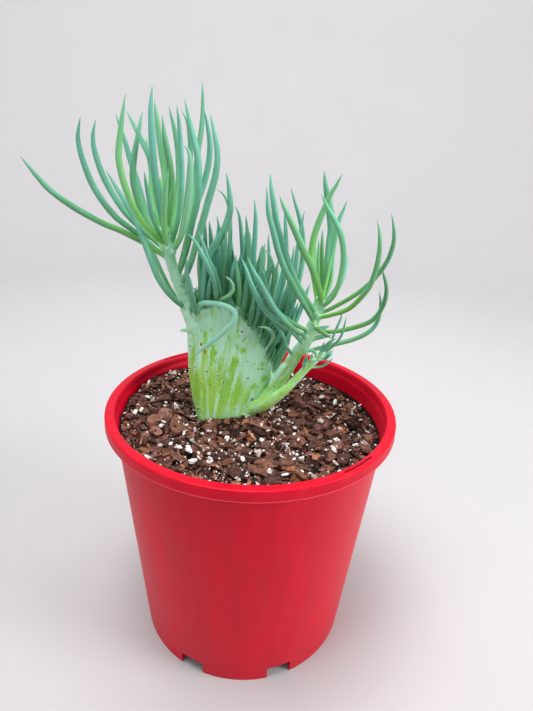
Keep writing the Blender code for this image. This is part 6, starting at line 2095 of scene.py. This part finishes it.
class OBJECT_OT_crest_leaves(bpy.types.Operator):
    """Makes the leaves and buds along the growing edge of the crested stem"""
    bl_idname = "chalk_sticks.crest_leaves"
    bl_label = "Crest Leaves"

    def execute(self, context):
        plant = context.scene.chalk_sticks.plant
        middle = crest_place(0.5)[0]
        leaves, _ = crest_and_shoot_leaves()
        leaves = leaves_piece(leaves, "crested_fan", plant, 1, middle, 0.12)
        leaves.as_piece("crest_leaves", leaf_skin(plant), "leaf_green", ["crested_fan"])
        buds = leaves_piece(bud_leaves(), "buds", plant, 2, middle, 0.1, young=True)
        buds.as_piece("crest_buds", leaf_skin(plant), "leaf_green", ["crested_fan"])
        return {"FINISHED"}


class OBJECT_OT_shoot_leaves(bpy.types.Operator):
    """Makes the leaves of the three shoots"""
    bl_idname = "chalk_sticks.shoot_leaves"
    bl_label = "Shoot Leaves"

    def execute(self, context):
        plant = context.scene.chalk_sticks.plant
        for number, (name, stem, _, leaves) in enumerate(SHOOTS):
            middle = placed(*stem[-1])
            shown = listed_leaves(leaves) + (tuft_leaves() if stem == LOWER_STEM else [])
            gathered = leaves_piece(shown, name, plant, 10 + number, middle, 0.45)
            gathered.as_piece(name + "_leaves", leaf_skin(plant), "leaf_green", [name])
        return {"FINISHED"}


class OBJECT_OT_studio(bpy.types.Operator):
    """Makes the pale floor and backdrop, the soft lights and the camera"""
    bl_idname = "chalk_sticks.studio"
    bl_label = "Studio"

    def execute(self, context):
        stage = context.scene.chalk_sticks.stage
        self.make_floor(stage)
        for name, place, aim, width, watts in LIGHTS:
            self.make_light(name, Vector(place), Vector(aim), width, watts * stage.strength)
        world = bpy.data.worlds.new("pale_room")
        world.use_nodes = True
        light = {"Color": (1.0, 0.985, 0.97), "Strength": stage.sky}
        NodeTree(world.node_tree).fill(world.node_tree.nodes["Background"], light)
        context.scene.world = world
        context.scene.view_settings.view_transform = "Standard"
        self.make_camera(context)
        return {"FINISHED"}

    def make_floor(self, stage):
        """A round floor that curves up into a wall, the same from every side."""
        profile = [(0, 0), (0.2, 0), (STAGE_FLAT, 0)]
        for step in range(1, STAGE_BENDS + 1):
            angle = math.radians(90 / STAGE_BENDS * step)
            profile.append((STAGE_FLAT + STAGE_CURVE * math.sin(angle), STAGE_CURVE * (1 - math.cos(angle))))
        profile.append((profile[-1][0], STAGE_WALL))
        turns = [math.tau * segment / STAGE_SEGMENTS for segment in range(STAGE_SEGMENTS)]
        points = [polar(radius, turn, z) for radius, z in profile[1:] for turn in turns] + [Vector((0, 0, 0))]
        rings = ring_faces(len(profile) - 1, STAGE_SEGMENTS)
        faces = [tuple(reversed(face)) for face in rings]
        faces += [(len(points) - 1, side, (side + 1) % STAGE_SEGMENTS) for side in range(STAGE_SEGMENTS)]
        floor = plain_object("studio_floor", points, faces)
        floor.data.shade_smooth()
        material, nodes, shader = new_material("pale_floor")
        place = nodes.add("ShaderNodeTexCoord").outputs["Object"]
        cloud = nodes.ranged(nodes.noise(place, (5.0, 5.0, 5.0), detail=4.0), 0.3, 0.7)
        paler = tuple(min(1.0, value * 1.03) for value in stage.floor)
        nodes.fill(shader, {"Base Color": nodes.mixed(cloud, stage.floor, paler), "Roughness": 0.75})
        floor.data.materials.append(material)

    def make_light(self, name, place, aim, width, watts):
        light = bpy.data.lights.new(name, "AREA")
        light.shape = "DISK"
        light.size = width
        light.energy = watts
        lamp = bpy.data.objects.new(name, light)
        lamp.location = place
        lamp.rotation_euler = (aim - place).to_track_quat("-Z", "Y").to_euler()
        lamp.visible_camera = False
        bpy.context.scene.collection.objects.link(lamp)

    def make_camera(self, context):
        forward = Vector((0, math.cos(CAMERA_PITCH), -math.sin(CAMERA_PITCH)))
        level_right = Vector((1, 0, 0))
        level_up = level_right.cross(forward)
        right = level_right * math.cos(CAMERA_ROLL) + level_up * math.sin(CAMERA_ROLL)
        up = level_up * math.cos(CAMERA_ROLL) - level_right * math.sin(CAMERA_ROLL)
        view = bpy.data.cameras.new("photo_view")
        view.sensor_width = SENSOR
        view.lens = FOCAL_PIXELS / PHOTO_HEIGHT * SENSOR
        view.clip_start = 0.01
        camera = bpy.data.objects.new("photo_view", view)
        turn = Matrix((right, up, -forward)).transposed().to_4x4()
        camera.matrix_world = Matrix.Translation(CAMERA_PLACE) @ turn
        context.scene.collection.objects.link(camera)
        context.scene.camera = camera


class VIEW3D_PT_chalk_sticks(bpy.types.Panel):
    """Lists the pieces of the potted plant with the settings that each one uses"""
    bl_label = "Chalk Sticks"
    bl_idname = "VIEW3D_PT_chalk_sticks"
    bl_space_type = "VIEW_3D"
    bl_region_type = "UI"
    bl_category = "Chalk Sticks"

    def draw(self, context):
        settings = context.scene.chalk_sticks
        for operator, group in OPERATORS:
            box = self.layout.box()
            box.operator(operator.bl_idname)
            values = getattr(settings, group)
            for name in values.bl_rna.properties.keys():
                if name not in ("rna_type", "name"):
                    box.prop(values, name)


OPERATORS = (  # in the order in which they run, with the settings that each one uses
    (OBJECT_OT_studio, "stage"),
    (OBJECT_OT_nursery_pot, "pot"),
    (OBJECT_OT_potting_mix, "mix"),
    (OBJECT_OT_crested_stem, "plant"),
    (OBJECT_OT_crest_leaves, "plant"),
    (OBJECT_OT_shoot_leaves, "plant"),
)
CLASSES = (
    PotSettings, MixSettings, PlantSettings, StageSettings, ChalkSticksSettings,
    *(operator for operator, _ in OPERATORS), VIEW3D_PT_chalk_sticks,
)


def register():
    for one in CLASSES:
        bpy.utils.register_class(one)
    bpy.types.Scene.chalk_sticks = PointerProperty(type=ChalkSticksSettings)


def unregister():
    del bpy.types.Scene.chalk_sticks
    for one in reversed(CLASSES):
        bpy.utils.unregister_class(one)


def main():
    register()
    for operator, _ in OPERATORS:
        family, name = operator.bl_idname.split(".")
        getattr(getattr(bpy.ops, family), name)()


if __name__ == "__main__":
    main()
